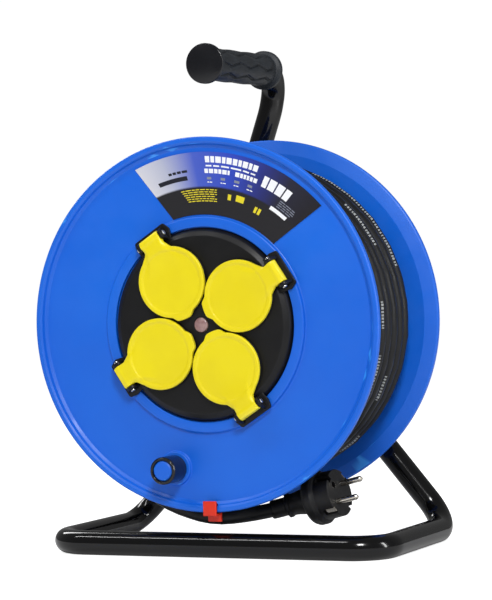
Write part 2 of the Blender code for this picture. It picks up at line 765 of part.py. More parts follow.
def radial(bm):
    """Turn a shape drawn along +Y so that it runs out through the core at the gland."""
    turned(bm, Matrix.Rotation(math.radians(-90), 4, "Z"))
    turned(bm, Matrix.Rotation(math.radians(-GLAND_ANGLE), 4, "Y"))
    return moved(bm, (0, GLAND_Y, 0))


def build_rear_half(parent):
    core = CORE_D / 2
    bore = core - CORE_WALL
    hub_bore = BUSH_D / 2 + GAP
    hub_y = DRUM_WIDTH - 2
    profile = [
        (hub_bore, hub_y - HUB_SLEEVE_LENGTH), (HUB_SLEEVE_D / 2, hub_y - HUB_SLEEVE_LENGTH),
        (HUB_SLEEVE_D / 2, REAR_FLANGE_Y), (bore, REAR_FLANGE_Y), (bore, JOINT_Y + GAP),
        (core, JOINT_Y + GAP), (core, REAR_FLANGE_Y),
    ]
    profile += [(r, DRUM_WIDTH - y) for r, y in reversed(rim_profile())]
    profile += [(HUB_BOSS_D / 2, REAR_FACE_Y), (HUB_BOSS_D / 2, hub_y), (hub_bore, hub_y)]
    half = add_object("rear_drum_half", lathe(profile, DRUM_SEGMENTS), "blue_plastic", parent)
    inner = HUB_BOSS_D / 2 - 1.5
    outer = DRUM_D / 2 - RIM_WIDTH + 1.5
    for i in range(RIB_COUNT):
        rib = box((inner, REAR_FACE_Y - 1, -RIB_THICK / 2),
                  (outer, REAR_FACE_Y + RIB_HEIGHT, RIB_THICK / 2))
        turned(rib, Matrix.Rotation(2 * math.pi * (i + 0.5) / RIB_COUNT, 4, "Y"))
        join(half, rib)
    for _, place in screw_places():
        join(half, cylinder(POST_D / 2, JOINT_Y + 2 * GAP, REAR_FLANGE_Y + 1, 16, place))
        cut(half, cylinder(SCREW_HEAD_D / 2 + GAP, JOINT_Y + SCREW_SEAT, DRUM_WIDTH, 12, place))
        cut(half, cylinder(SCREW_D / 2 + GAP, JOINT_Y - 1, JOINT_Y + SCREW_SEAT + 1, 12, place))


def build_drum_fittings(parent):
    for number, place in screw_places():
        seat = JOINT_Y + SCREW_SEAT + GAP
        screw = add_object(f"drum_screw_{number}",
                           cylinder(SCREW_HEAD_D / 2, seat, seat + SCREW_HEAD_THICK, 12),
                           "zinc_steel", parent, (place[0], 0, place[1]))
        join(screw, cylinder(SCREW_D / 2, seat - SCREW_LENGTH, seat + 1, 10))
    hub_y = DRUM_WIDTH - 2
    bore = SPINDLE_D / 2 + GAP
    start = hub_y - HUB_SLEEVE_LENGTH
    bush = [
        (bore, start), (BUSH_D / 2, start), (BUSH_D / 2, hub_y + GAP),
        (BUSH_FLANGE_D / 2, hub_y + GAP), (BUSH_FLANGE_D / 2, hub_y + BUSH_FLANGE_THICK),
        (bore, hub_y + BUSH_FLANGE_THICK),
    ]
    add_object("bearing_bush", lathe(bush, 24), "white_plastic", parent)
    core_bore = CORE_D / 2 - CORE_WALL
    gland = [
        (CABLE_D / 2 + GAP, core_bore - 4), (GLAND_FLANGE_D / 2, core_bore - 4),
        (GLAND_FLANGE_D / 2, core_bore - 1.6), (GLAND_D / 2, core_bore - 1.6),
        (GLAND_D / 2, CORE_D / 2 - 0.6), (CABLE_D / 2 + GAP, CORE_D / 2 - 0.6),
    ]
    add_object("cable_gland", radial(lathe(gland, 20)), "black_plastic", parent)


# ======================================================================================
# sockets
# ======================================================================================

def socket_turn(number):
    """Rotation that carries +X to the direction of a socket."""
    degrees = SOCKET_ANGLE + 360 / SOCKET_COUNT * (number - 1)
    return Matrix.Rotation(math.radians(-degrees), 4, "Y")


def socket_axes(parent):
    """One empty for each socket: origin on the drum axis, +X out through the socket."""
    axes = []
    for number in range(1, SOCKET_COUNT + 1):
        turn = socket_turn(number).to_euler()
        axes.append(add_empty(f"socket_axis_{number}", (0, 0, 0), turn, parent))
    return axes


def ear_outline():
    """Side view (x, y) of a hinge ear, in the socket's coordinates."""
    top = arc((HINGE_RADIUS, HINGE_Y), EAR_TOP_D / 2, 200, 350, 8)
    foot = FACE_Y - HINGE_PAD_THICK
    return [(HINGE_RADIUS - 6, foot)] + top + [(HINGE_PAD[1] - 1.5, foot)]


def build_socket_plate(parent):
    foot = PLATE_D / 2
    plateau = PLATEAU_D / 2
    back_y = PLATEAU_Y + PLATE_THICK
    drop = FACE_Y - PLATEAU_Y
    profile = [
        (BUTTON_D / 2 + GAP, PLATEAU_Y), (plateau, PLATEAU_Y),
        (plateau + 2.2, PLATEAU_Y + 0.05 * drop), (plateau + 4.4, PLATEAU_Y + 0.25 * drop),
        (plateau + 6.0, PLATEAU_Y + 0.6 * drop), (foot, FACE_Y),
        (foot - PLATE_THICK, FACE_Y), (plateau + 3.2, PLATEAU_Y + 0.7 * drop),
        (plateau + 1.4, back_y + 0.6), (plateau, back_y), (BUTTON_D / 2 + GAP, back_y),
    ]
    plate = add_object("socket_plate", lathe(profile, DRUM_SEGMENTS), "black_plastic", parent)
    arm_half = LID_ARM_WIDTH / 2 + 0.4
    for number in range(1, SOCKET_COUNT + 1):
        turn = socket_turn(number)
        centre = (SOCKET_RADIUS, 0)
        collar = cylinder(SOCKET_COLLAR_D / 2, COLLAR_TOP_Y, PLATEAU_Y + 1, 24, centre)
        join(plate, turned(collar, turn))
        well = cylinder(INSERT_D / 2 + GAP, COLLAR_TOP_Y - 1, back_y + 1, 20, centre)
        cut(plate, turned(well, turn))
        pad = box((HINGE_PAD[0], FACE_Y - COLLAR_HEIGHT - GAP - HINGE_PAD_THICK,
                   HINGE_SHIFT - HINGE_PAD[2] / 2),
                  (HINGE_PAD[1], FACE_Y - COLLAR_HEIGHT - GAP,
                   HINGE_SHIFT + HINGE_PAD[2] / 2))
        join(plate, turned(pad, turn))
        for side in (-1, 1):
            ear = bmesh.new()
            near = HINGE_SHIFT + side * arm_half
            far = HINGE_SHIFT + side * (arm_half + EAR_THICK)
            outline = [(x, min(y, FACE_Y - COLLAR_HEIGHT - 2 * GAP)) for x, y in ear_outline()]
            rings = []
            for z in (near, far):
                rings.append([ear.verts.new((x, y, z)) for x, y in outline])
            ear.faces.new(rings[0])
            ear.faces.new(rings[1][::-1])
            skin_rings(ear, rings)
            join(plate, turned(ear, turn))
        bore = about_z(cylinder(HINGE_PIN_D / 2 + GAP, -HINGE_PAD[2] / 2, HINGE_PAD[2] / 2, 12))
        cut(plate, turned(moved(bore, (HINGE_RADIUS, HINGE_Y, HINGE_SHIFT)), turn))


def build_socket_parts(axes):
    rim_y = COLLAR_TOP_Y + GAP
    earth_x = -EARTH_PIN_OFFSET
    for number, axis in enumerate(axes, 1):
        place = (SOCKET_RADIUS, 0, 0)
        cup = [
            (0, INSERT_FLOOR_Y), (INSERT_WELL_D / 2, INSERT_FLOOR_Y),
            (INSERT_WELL_D / 2, rim_y), (INSERT_D / 2, rim_y),
            (INSERT_D / 2, INSERT_BACK_Y), (0, INSERT_BACK_Y),
        ]
        insert = add_object(f"socket_insert_{number}", lathe(cup, 20), "black_plastic", axis,
                            place)
        floor = (INSERT_FLOOR_Y - 1, INSERT_BACK_Y + 1)
        for side in (-1, 1):
            hole = cylinder(CONTACT_HOLE_D / 2, *floor, 10, (0, side * CONTACT_PITCH / 2))
            cut(insert, hole)
        cut(insert, cylinder(EARTH_PIN_D / 2 + GAP, *floor, 12, (earth_x, 0)))
        tip = INSERT_FLOOR_Y - EARTH_PIN_PROUD
        pin = [
            (0, tip), (EARTH_PIN_D / 2 - 1, tip), (EARTH_PIN_D / 2, tip + 1.5),
            (EARTH_PIN_D / 2, tip + EARTH_PIN_LENGTH), (0, tip + EARTH_PIN_LENGTH),
        ]
        add_object(f"earth_pin_{number}", lathe(pin, 12), "brass", axis,
                   (SOCKET_RADIUS + earth_x, 0, 0))


def build_busbar(name, ring_r, ring_y, side, parent):
    """A flat ring with four sleeves that grip the pins of a plug."""
    half = BUSBAR_WIDTH / 2
    bar = add_object(name, tube(ring_r - half, ring_r + half, ring_y, ring_y + BUSBAR_THICK, 28),
                     "brass", parent)
    contact = Vector((SOCKET_RADIUS, 0, side * CONTACT_PITCH / 2))
    lean = Matrix.Rotation(math.atan2(-contact.z, contact.x), 4, "Y")
    reach = contact.length
    low, high = sorted((reach, ring_r))
    for number in range(1, SOCKET_COUNT + 1):
        turn = socket_turn(number)
        tab = box((low, ring_y + 0.2, -half), (high, ring_y + BUSBAR_THICK - 0.2, half))
        join(bar, turned(turned(tab, lean), turn))
        end = ring_y + BUSBAR_THICK + 0.5
        sleeve = cylinder(SLEEVE_D / 2, INSERT_BACK_Y + GAP, end, 8, (contact.x, contact.z))
        join(bar, turned(sleeve, turn))
        bore = cylinder(SLEEVE_BORE / 2, INSERT_BACK_Y - 1, end + 1, 8, (contact.x, contact.z))
        cut(bar, turned(bore, turn))


def build_cover(parent):
    outer = COVER_D / 2
    floor = COVER_BACK_Y - COVER_WALL
    pan = [
        (0, floor), (outer - COVER_WALL, floor), (outer - COVER_WALL, COVER_FRONT_Y),
        (outer, COVER_FRONT_Y), (outer, COVER_BACK_Y), (0, COVER_BACK_Y),
    ]
    cover = add_object("insulating_cover", lathe(pan, 40), "black_plastic", parent)
    cut(cover, cylinder(CABLE_D / 2 + 1, floor - 1, COVER_BACK_Y + 1, 16, (28.0, -26.0)))
    width, depth, height = CLAMP_SIZE
    low = (-width / 2, COVER_BACK_Y + GAP, -height / 2)
    high = (width / 2, COVER_BACK_Y + GAP + depth, height / 2)
    clamp = add_object("cable_clamp", box(low, high), "white_plastic", parent,
                       (CLAMP_AT[0], 0, CLAMP_AT[1]))
    groove = about_z(cylinder(CABLE_D / 2 - 1, -height, height, 16))
    cut(clamp, moved(groove, (0, COVER_BACK_Y + depth / 2, 0)))


def build_cutout(parent):
    hole = BUTTON_D / 2
    front = PLATEAU_Y - BUTTON_PROUD
    stem_y = front + BUTTON_THICK + BUTTON_STEM_LENGTH
    button = [
        (0, front), (hole - 1.5, front + 0.1), (hole - 0.4, front + 0.6), (hole, front + 1.4),
        (hole, front + BUTTON_THICK), (BUTTON_STEM_D / 2, front + BUTTON_THICK),
        (BUTTON_STEM_D / 2, stem_y), (0, stem_y),
    ]
    axis = add_empty("button_axis", (0, 0, 0), parent=parent)
    add_object("reset_button", lathe(button, 24), "membrane", axis)
    neck_y = front + BUTTON_THICK + BUTTON_TRAVEL + GAP
    body_y = neck_y + CUTOUT_NECK_LENGTH
    half = CUTOUT_SIZE / 2
    cutout = add_object("thermal_cutout",
                        box((-half, body_y, -half), (half, body_y + CUTOUT_DEPTH, half)),
                        "black_plastic", parent)
    join(cutout, cylinder(CUTOUT_NECK_D / 2, neck_y, body_y + 1, 20))
    cut(cutout, cylinder(BUTTON_STEM_D / 2 + GAP, neck_y - 1,
                         stem_y + BUTTON_TRAVEL + 2 * GAP, 16))


# ======================================================================================
# lids
# ======================================================================================

def lid_outline():
    """Plan (x, z) of a lid about its hinge pin, arm towards the pin at the origin."""
    radius = LID_D / 2
    centre = (-HINGE_REACH, -HINGE_SHIFT)
    arm = LID_ARM_WIDTH / 2
    left = math.degrees(math.asin((arm + 2 + HINGE_SHIFT) / radius))
    right = math.degrees(math.asin((arm + 2 - HINGE_SHIFT) / radius))
    tab_middle = 180 - LID_TAB_TURN
    points = [(-BARREL_D / 4, -arm), (-BARREL_D / 4, arm), (-BARREL_D / 2 - 1, arm)]
    steps = 36
    for i in range(steps + 1):
        angle = left + (360 - left - right) * i / steps
        lean = abs(angle - tab_middle) / LID_TAB_HALF
        bump = LID_TAB * min(1.0, max(0.0, 3 * (1 - lean))) if lean < 1 else 0.0
        bump = LID_TAB * (3 * (bump / LID_TAB) ** 2 - 2 * (bump / LID_TAB) ** 3)
        points.append((centre[0] + (radius + bump) * math.cos(math.radians(angle)),
                       centre[1] + (radius + bump) * math.sin(math.radians(angle))))
    points.append((-BARREL_D / 2 - 1, -arm))
    return points


def build_lids(axes):
    arm = LID_ARM_WIDTH / 2
    for number, axis in enumerate(axes, 1):
        pin_middle = (HINGE_RADIUS, HINGE_Y, HINGE_SHIFT)
        hinge = add_empty(f"lid_hinge_{number}", pin_middle, parent=axis)
        face, foot = LID_FACE_Y - HINGE_Y, LID_FOOT_Y - HINGE_Y
        lid = add_object(f"lid_{number}", prism(lid_outline(), face, foot), "yellow_plastic",
                         hinge)
        centre = (-HINGE_REACH, -HINGE_SHIFT)
        cut(lid, cylinder(LID_POCKET_D / 2, face + LID_SKIN, foot + 1, 24, centre))
        join(lid, about_z(cylinder(BARREL_D / 2, -arm, arm, 20)))
        cut(lid, about_z(cylinder(HINGE_PIN_D / 2 + GAP, -arm - 1, arm + 1, 12)))
        half = SPRING_POCKET_LENGTH / 2
        cut(lid, about_z(cylinder(SPRING_POCKET_D / 2, -half, half, 16)))
        gasket_y = face + LID_SKIN + GAP
        add_object(f"lid_gasket_{number}",
                   tube(GASKET_INNER_D / 2, GASKET_OUTER_D / 2, gasket_y, foot, 20, centre),
                   "cable_rubber", hinge)
        ear_end = arm + 0.4 + EAR_THICK + GAP
        head_end = ear_end + HINGE_PIN_HEAD_THICK
        pin = [
            (0, -head_end), (HINGE_PIN_HEAD_D / 2, -head_end), (HINGE_PIN_HEAD_D / 2, -ear_end),
            (HINGE_PIN_D / 2, -ear_end), (HINGE_PIN_D / 2, ear_end),
            (HINGE_PIN_HEAD_D / 2, ear_end), (HINGE_PIN_HEAD_D / 2, head_end), (0, head_end),
        ]
        add_object(f"hinge_pin_{number}", about_z(lathe(pin, 8)), "zinc_steel", axis,
                   pin_middle)
        add_object(f"lid_spring_{number}", spring(), "zinc_steel", axis, pin_middle)


def spring():
    """The coil that closes a lid, wound round its hinge pin along Z."""
    length = SPRING_POCKET_LENGTH - 2 * GAP - SPRING_WIRE_D
    steps = 7 * SPRING_TURNS
    path = []
    for i in range(steps + 1):
        angle = 2 * math.pi * SPRING_TURNS * i / steps
        path.append(Vector((SPRING_D / 2 * math.cos(angle), SPRING_D / 2 * math.sin(angle),
                            length * (i / steps - 0.5))))
    frames = frames_along(path, 0, Vector((1, 0, 0)))
    return swept(path, frames, 4, lambda i: SPRING_WIRE_D / 2)


# ======================================================================================
# knob, label, clip
# ======================================================================================

def build_knob(parent):
    axis = add_empty("knob_axis", (KNOB_AT[0], 0, KNOB_AT[1]), parent=parent)
    post = KNOB_POST_D / 2
    cap = KNOB_CAP_D / 2
    front = -KNOB_PROUD
    cap_back = front + 0.4 + KNOB_CAP_THICK
    post_profile = [
        (0, front + 0.4), (cap - 0.8, front + 0.4), (cap, front + 1.2), (cap, cap_back),
        (post, cap_back), (post, FLANGE_BACK_Y - GAP), (0, FLANGE_BACK_Y - GAP),
    ]
    add_object("knob_post", lathe(post_profile, 24), "blue_plastic", axis)
    outer = KNOB_D / 2
    back = FACE_Y - KNOB_BOSS_HEIGHT - GAP
    sleeve = [
        (cap + GAP, front + 1), (cap + GAP + 1, front), (outer - 1.5, front),
        (outer, front + 1.5), (outer, back), (post + GAP, back), (post + GAP, cap_back + GAP),
        (cap + GAP, cap_back + GAP),
    ]
    add_object("knob_sleeve", lathe(sleeve, 24), "black_plastic", axis)


def build_label(parent):
    outline = arc((0, 0), LABEL_OUTER_R, *LABEL_OUTER_ANGLES, 24)
    outline += arc((0, 0), LABEL_INNER_R, *reversed(LABEL_INNER_ANGLES), 16)
    face = FACE_Y - GAP
    add_object("label_plate", prism(outline, face - LABEL_THICK, face), "label_print", parent)


def build_clip(parent):
    """Red clip: saddles the rim and holds the lead in a slot that opens downwards."""
    rim = DRUM_D / 2 + GAP
    wall = CLIP_WALL
    near, far = CLIP_CABLE_Y
    roof = rim - 1.9
    front = -GAP - 0.1
    behind = FLANGE_BACK_Y + GAP
    outline = [
        (front - wall, -CLIP_TAB_R), (front, -CLIP_TAB_R), (front, -rim), (behind, -rim),
        (behind, -roof + wall), (far + wall, -roof + wall), (far + wall, -CLIP_BOTTOM_R + 2),
        (far, -CLIP_BOTTOM_R + 2), (far, -roof), (near + 0.4, -roof),
        (near + 0.4, -rim - 0.4), (near, -rim - wall * 0.6), (near, -CLIP_BOTTOM_R),
        (near - wall * 1.2, -CLIP_BOTTOM_R), (near - wall * 1.2, -rim - wall),
        (front - wall, -rim - wall),
    ]
    bm = bmesh.new()
    rings = []
    for x in (-CLIP_WIDTH / 2, CLIP_WIDTH / 2):
        rings.append([bm.verts.new((x, y, z)) for y, z in outline])
    bm.faces.new(rings[0])
    bm.faces.new(rings[1][::-1])
    skin_rings(bm, rings)
    add_object("cable_clip", bm, "red_plastic", parent, (CLIP_X, 0, 0))


# ======================================================================================
# cable and plug
# ======================================================================================

def plug_frame():
    """Axis of the plug and two directions across it, the second along its pins."""
    across = math.sqrt(1 - PLUG_FORWARD ** 2)
    rise = math.radians(PLUG_RISE)
    axis = Vector((across * math.cos(rise), -PLUG_FORWARD, across * math.sin(rise)))
    up = (Vector((0, 0, 1)) - axis * axis.z).normalized()
    side = up.cross(axis)
    turn = math.radians(PLUG_TURN)
    pins = up * math.cos(turn) + side * math.sin(turn)
    return axis, pins.cross(axis), pins


def plug_matrix():
    """Carries a shape drawn along +Y, with its pins on Z, to the plug's place."""
    axis, clips, pins = plug_frame()
    matrix = Matrix((-clips, axis, pins)).transposed().to_4x4()
    matrix.translation = Vector(PLUG_AT)
    return matrix


def build_cable(parent):
    core = CORE_D / 2 + GAP + 0.1
    winding = tube(core, WINDING_D / 2, FLANGE_BACK_Y + GAP + 0.1, REAR_FLANGE_Y - GAP - 0.1,
                   48)
    add_object("cable_coil", winding, "cable_rubber", parent)

    route = smooth_route(LEAD_ROUTE, LEAD_STEP)
    lengths = [0.0]
    for p, q in zip(route, route[1:]):
        lengths.append(lengths[-1] + (q - p).length)
    boot_start = lengths[-1] - BOOT_LENGTH
    last = max(i for i, s in enumerate(lengths) if s < boot_start)
    share = (boot_start - lengths[last]) / (lengths[last + 1] - lengths[last])
    seam = route[last].lerp(route[last + 1], share)
    along = (route[last + 1] - route[last]).normalized()
    lead = bpy.data.curves.new("cable_lead", "CURVE")
    lead.dimensions = "3D"
    lead.bevel_depth = CABLE_D / 2 * MM
    lead.bevel_resolution = 3
    lead.use_fill_caps = True
    points = route[:last + 1] + [seam - along * GAP]
    spline = lead.splines.new("POLY")
    spline.points.add(len(points) - 1)
    for target, point in zip(spline.points, points):
        target.co = (*(point * MM), 1.0)
    lead_obj = bpy.data.objects.new("cable_lead", lead)
    bpy.context.scene.collection.objects.link(lead_obj)
    lead_obj.parent = parent
    lead.materials.append(material("cable_rubber"))

    boot_path = [seam] + route[last + 1:]
    frames = frames_along(boot_path, 0, Vector((0, 0, 1)))
    frames[0] = frames[1] if len(frames) < 2 else (along, *cross_axes(along))
    count = len(boot_path) - 1

    def boot_radius(i):
        return (BOOT_REAR_D + (BOOT_FRONT_D - BOOT_REAR_D) * i / count) / 2

    add_object("plug_boot", swept(boot_path, frames, 20, boot_radius), "cable_rubber", parent)


def cross_axes(along):
    up = (Vector((0, 0, 1)) - along * along.z).normalized()
    return up, along.cross(up)


def build_plug(parent):
    matrix = plug_matrix()
    collar, face = PLUG_COLLAR_D / 2, PLUG_FACE_D / 2
    profile = [
        (0, GAP - PLUG_REAR), (12, GAP - PLUG_REAR), (collar - 3, -4), (collar, -1),
        (collar, 6), (collar - 2, 8), (face, 9), (face, PLUG_FACE_AT - 1),
        (face - 1, PLUG_FACE_AT), (0, PLUG_FACE_AT),
    ]
    body = add_object("plug_body", turned(lathe(profile, 24), matrix), "cable_rubber", parent)
    spacing = CONTACT_PITCH / 2
    depth = PLUG_FACE_AT - PLUG_PIN_DEPTH
    for side in (-1, 1):
        hole = cylinder(PLUG_PIN_D / 2 + GAP, depth - GAP, PLUG_FACE_AT + 1, 12,
                        (0, side * spacing))
        cut(body, turned(hole, matrix))
        near, far = sorted((side * (face - 2.6), side * (face + 2)))
        notch = box((near, depth, -3.2), (far, PLUG_FACE_AT + 1, 3.2))
        cut(body, turned(notch, matrix))
    tip = PLUG_FACE_AT + PLUG_PIN_LENGTH
    for number, side in ((1, -1), (2, 1)):
        radius = PLUG_PIN_D / 2
        pin = [(0, depth), (radius, depth), (radius, tip - 1.6), (radius - 1.2, tip), (0, tip)]
        pin_bm = lathe(pin, 12, (0, side * spacing))
        add_object(f"plug_pin_{number}", turned(pin_bm, matrix), "nickel", parent)
        near, far = sorted((side * (face - 2.2), side * (face - 1.0)))
        clip = box((near, depth + GAP, -2.4), (far, PLUG_FACE_AT - 0.5, 2.4))
        add_object(f"plug_earth_clip_{number}", turned(clip, matrix), "nickel", parent)


# ======================================================================================
# assembly
# ======================================================================================

def main():
    clear_scene()
    centre = (0, -ORIGIN_Y, AXIS_HEIGHT)
    stand = add_empty("stand", centre)
    build_frame_tube(stand)
    build_grip(stand)
    build_hub(stand)

    drum = add_empty("drum_axis", centre)
    build_front_half(drum)
    build_rear_half(drum)
    build_drum_fittings(drum)
    build_socket_plate(drum)
    axes = socket_axes(drum)
    build_socket_parts(axes)
    build_busbar("live_busbar", LIVE_BUSBAR_R, LIVE_BUSBAR_Y, -1, drum)
    build_busbar("neutral_busbar", NEUTRAL_BUSBAR_R, NEUTRAL_BUSBAR_Y, 1, drum)
    build_cover(drum)
    build_cutout(drum)
    build_lids(axes)
    build_knob(drum)
    build_label(drum)
    build_clip(drum)
    build_cable(drum)
    build_plug(drum)


main()
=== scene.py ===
import json
import math
import random

import bmesh
import bpy
from mathutils import Matrix, Vector
from mathutils.geometry import delaunay_2d_cdt


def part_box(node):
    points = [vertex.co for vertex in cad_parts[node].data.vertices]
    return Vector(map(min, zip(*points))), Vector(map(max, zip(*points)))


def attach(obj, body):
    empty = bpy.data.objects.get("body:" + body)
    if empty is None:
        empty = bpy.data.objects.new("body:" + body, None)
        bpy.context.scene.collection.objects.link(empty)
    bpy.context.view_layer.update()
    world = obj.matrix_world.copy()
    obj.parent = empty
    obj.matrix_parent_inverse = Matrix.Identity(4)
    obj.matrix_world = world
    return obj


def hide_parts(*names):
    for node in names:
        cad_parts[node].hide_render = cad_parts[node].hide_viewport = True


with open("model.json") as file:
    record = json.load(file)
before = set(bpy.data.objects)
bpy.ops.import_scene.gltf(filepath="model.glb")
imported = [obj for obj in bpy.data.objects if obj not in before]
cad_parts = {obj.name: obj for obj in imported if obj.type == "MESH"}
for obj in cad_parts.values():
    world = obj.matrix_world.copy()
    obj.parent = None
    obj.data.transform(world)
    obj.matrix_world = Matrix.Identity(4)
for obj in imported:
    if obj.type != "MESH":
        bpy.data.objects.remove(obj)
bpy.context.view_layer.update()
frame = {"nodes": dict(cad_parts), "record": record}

# Drawing coordinates are millimetres from the drum's axis at the front rim's plane:
# +X to the right, +Y to the rear, +Z up. ORIGIN carries them to the frame, in metres.
MM = 0.001
RIM_LOW, RIM_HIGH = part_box("front_drum_half")
ORIGIN = Vector(((RIM_LOW.x + RIM_HIGH.x) / 2, RIM_LOW.y, (RIM_LOW.z + RIM_HIGH.z) / 2))
TO_FRAME = Matrix.Translation(ORIGIN) @ Matrix.Scale(MM, 4)
AXIS_HEIGHT = ORIGIN.z / MM

SOCKETS = 4
SOCKET_ANGLE = 33.2
SOCKET_RADIUS = 41.5
HINGE_RADIUS = 78.5
HINGE_SHIFT = -3.0
HINGE_Y = -5.5
KNOB = (-29.0, -115.2)
HANDLE_Z = 209
DRUM_WIDTH = 142.9


# ---- mesh helpers ----

def place(point):
    return TO_FRAME @ Vector(point)


def make_object(name, bm, matrix=None):
    """Makes an object of a bmesh drawn in millimetres, and frees the bmesh."""
    bmesh.ops.recalc_face_normals(bm, faces=bm.faces)
    bmesh.ops.transform(bm, matrix=TO_FRAME @ (matrix or Matrix()), verts=bm.verts)
    mesh = bpy.data.meshes.new(name)
    bm.to_mesh(mesh)
    bm.free()
    obj = bpy.data.objects.new(name, mesh)
    bpy.context.scene.collection.objects.link(obj)
    return obj


def smooth(mesh, sharp=38):
    mesh.shade_smooth()
    mesh.set_sharp_from_angle(angle=math.radians(sharp))


def finish_piece(name, bm, slot, body, replaces=(), look=None, sharp=38, matrix=None):
    """Makes a piece that rides on a body, in its slot's look unless another is named."""
    obj = make_object(name, bm, matrix)
    obj.data.materials.append(LOOKS[look or SLOT_LOOKS[slot]])
    smooth(obj.data, sharp)
    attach(obj, body)
    if replaces:
        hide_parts(*replaces)
    return obj


def cut_away(obj, bm, matrix=None):
    """Cuts a tool drawn in millimetres out of a finished piece."""
    tool = make_object("tool", bm, matrix)
    modifier = obj.modifiers.new("cut", "BOOLEAN")
    modifier.operation = "DIFFERENCE"
    modifier.solver = "MANIFOLD"
    modifier.object = tool
    bpy.context.view_layer.update()
    made = bpy.data.meshes.new_from_object(obj.evaluated_get(
        bpy.context.evaluated_depsgraph_get()))
    obj.modifiers.clear()
    old, tool_mesh = obj.data, tool.data
    obj.data = made
    made.name = obj.name
    smooth(made)
    bpy.data.objects.remove(tool, do_unlink=True)
    for mesh in (tool_mesh, old):
        bpy.data.meshes.remove(mesh)


def fillet(corners, closed=True, steps=6):
    """Outline of (x, y, radius) corners with each corner rounded to its radius."""
    points = []
    count = len(corners)
    for i, (x, y, radius) in enumerate(corners):
        here = Vector((x, y))
        if radius == 0 or (not closed and i in (0, count - 1)):
            points.append(here)
            continue
        before = Vector(corners[i - 1][:2]) - here
        after = Vector(corners[(i + 1) % count][:2]) - here
        half = before.angle(after) / 2
        if half > math.radians(88):
            points.append(here)
            continue
        run = min(radius / math.tan(half), before.length * 0.48, after.length * 0.48)
        radius = run * math.tan(half)
        centre = here + (before.normalized() + after.normalized()).normalized() * (
            radius / math.sin(half))
        first = here + before.normalized() * run - centre
        last = here + after.normalized() * run - centre
        turn = first.angle_signed(last)
        for k in range(steps + 1):
            angle = -turn * k / steps
            c, s = math.cos(angle), math.sin(angle)
            points.append(centre + Vector((first.x * c - first.y * s,
                                           first.x * s + first.y * c)))
    return [(p.x, p.y) for p in points]


def lathe(profile, segments=160, centre=(0.0, 0.0), bm=None):
    """Turns a closed outline of (radius, y) about the Y axis through centre (x, z)."""
    bm = bm or bmesh.new()
    rings = []
    turns = [2 * math.pi * i / segments for i in range(segments)]
    for radius, y in profile:
        on_axis = radius < 1e-6
        rings.append([bm.verts.new((centre[0] + radius * math.cos(a), y,
                                    centre[1] + radius * math.sin(a)))
                      for a in (turns[:1] if on_axis else turns)])
    for i, ring in enumerate(rings):
        after = rings[(i + 1) % len(rings)]
        if len(ring) == 1 and len(after) == 1:
            continue
        for j in range(segments):
            k = (j + 1) % segments
            if len(ring) == 1:
                bm.faces.new((ring[0], after[k], after[j]))
            elif len(after) == 1:
                bm.faces.new((ring[j], ring[k], after[0]))
            else:
                bm.faces.new((ring[j], ring[k], after[k], after[j]))
    return bm


def skin(bm, rings, closed=True):
    for a, b in zip(rings, rings[1:]):
        for j in range(len(a) if closed else len(a) - 1):
            k = (j + 1) % len(a)
            bm.faces.new((a[j], a[k], b[k], b[j]))


def prism(outline, y0, y1, edge=0.0, bm=None):
    """Extrudes an outline of (x, z) along Y, with its edges rounded by edge."""
    bm = bm or bmesh.new()
    if signed_area(outline) < 0:
        outline = outline[::-1]
    layers = [(0.0, y0), (0.0, y1)]
    if edge:
        turn = [math.radians(a) for a in (90, 60, 30, 0)]
        near = [(edge * (1 - math.cos(a)), y0 + edge * (1 - math.sin(a))) for a in turn]
        layers = near + [(inset, y0 + y1 - y) for inset, y in reversed(near)]
    rings = [[bm.verts.new((x, y, z)) for x, z in offset(outline, -inset)]
             for inset, y in layers]
    skin(bm, rings)
    bm.faces.new(rings[0])
    bm.faces.new(rings[-1][::-1])
    return bm


def signed_area(outline):
    return sum(a[0] * b[1] - b[0] * a[1]
               for a, b in zip(outline, outline[1:] + outline[:1])) / 2


def offset(outline, distance):
    """Moves a counter-clockwise outline outwards by distance."""
    if distance == 0:
        return outline
    moved = []
    count = len(outline)
    for i in range(count):
        a, b, c = (Vector(outline[i - 1]), Vector(outline[i]),
                   Vector(outline[(i + 1) % count]))
        first = (b - a).normalized()
        last = (c - b).normalized()
        n1 = Vector((first.y, -first.x))
        n2 = Vector((last.y, -last.x))
        mean = (n1 + n2).normalized()
        moved.append(tuple(b + mean * distance / max(0.5, mean.dot(n1))))
    return moved


def polar(radius, degrees):
    return (radius * math.cos(math.radians(degrees)), radius * math.sin(math.radians(degrees)))


def arc(centre, radius, start, end, steps):
    turns = [math.radians(start + (end - start) * i / steps) for i in range(steps + 1)]
    return [(centre[0] + radius * math.cos(a), centre[1] + radius * math.sin(a))
            for a in turns]


def rounded_box(low, high, radius):
    """A box with rounded edges, drawn as an XZ outline extruded along Y."""
    outline = fillet([(low[0], low[2], radius), (high[0], low[2], radius),
                      (high[0], high[2], radius), (low[0], high[2], radius)])
    return prism(outline, low[1], high[1], min(radius, (high[1] - low[1]) / 2.2))


def path_frames(path, start=0):
    """Tangent and two normals at each point, carried along without twist."""
    count = len(path)
    up = Vector((0, 0, 1))
    tangents = [(path[min(i + 1, count - 1)] - path[max(i - 1, 0)]).normalized()
                for i in range(count)]
    normals = [None] * count
    normals[start] = (up - up.project(tangents[start])).normalized()
    for order in (range(start + 1, count), range(start - 1, -1, -1)):
        last = start
        for i in order:
            turn = tangents[last].rotation_difference(tangents[i])
            n = turn @ normals[last]
            normals[i] = (n - n.project(tangents[i])).normalized()
            last = i
    return [(t, n, t.cross(n)) for t, n in zip(tangents, normals)]


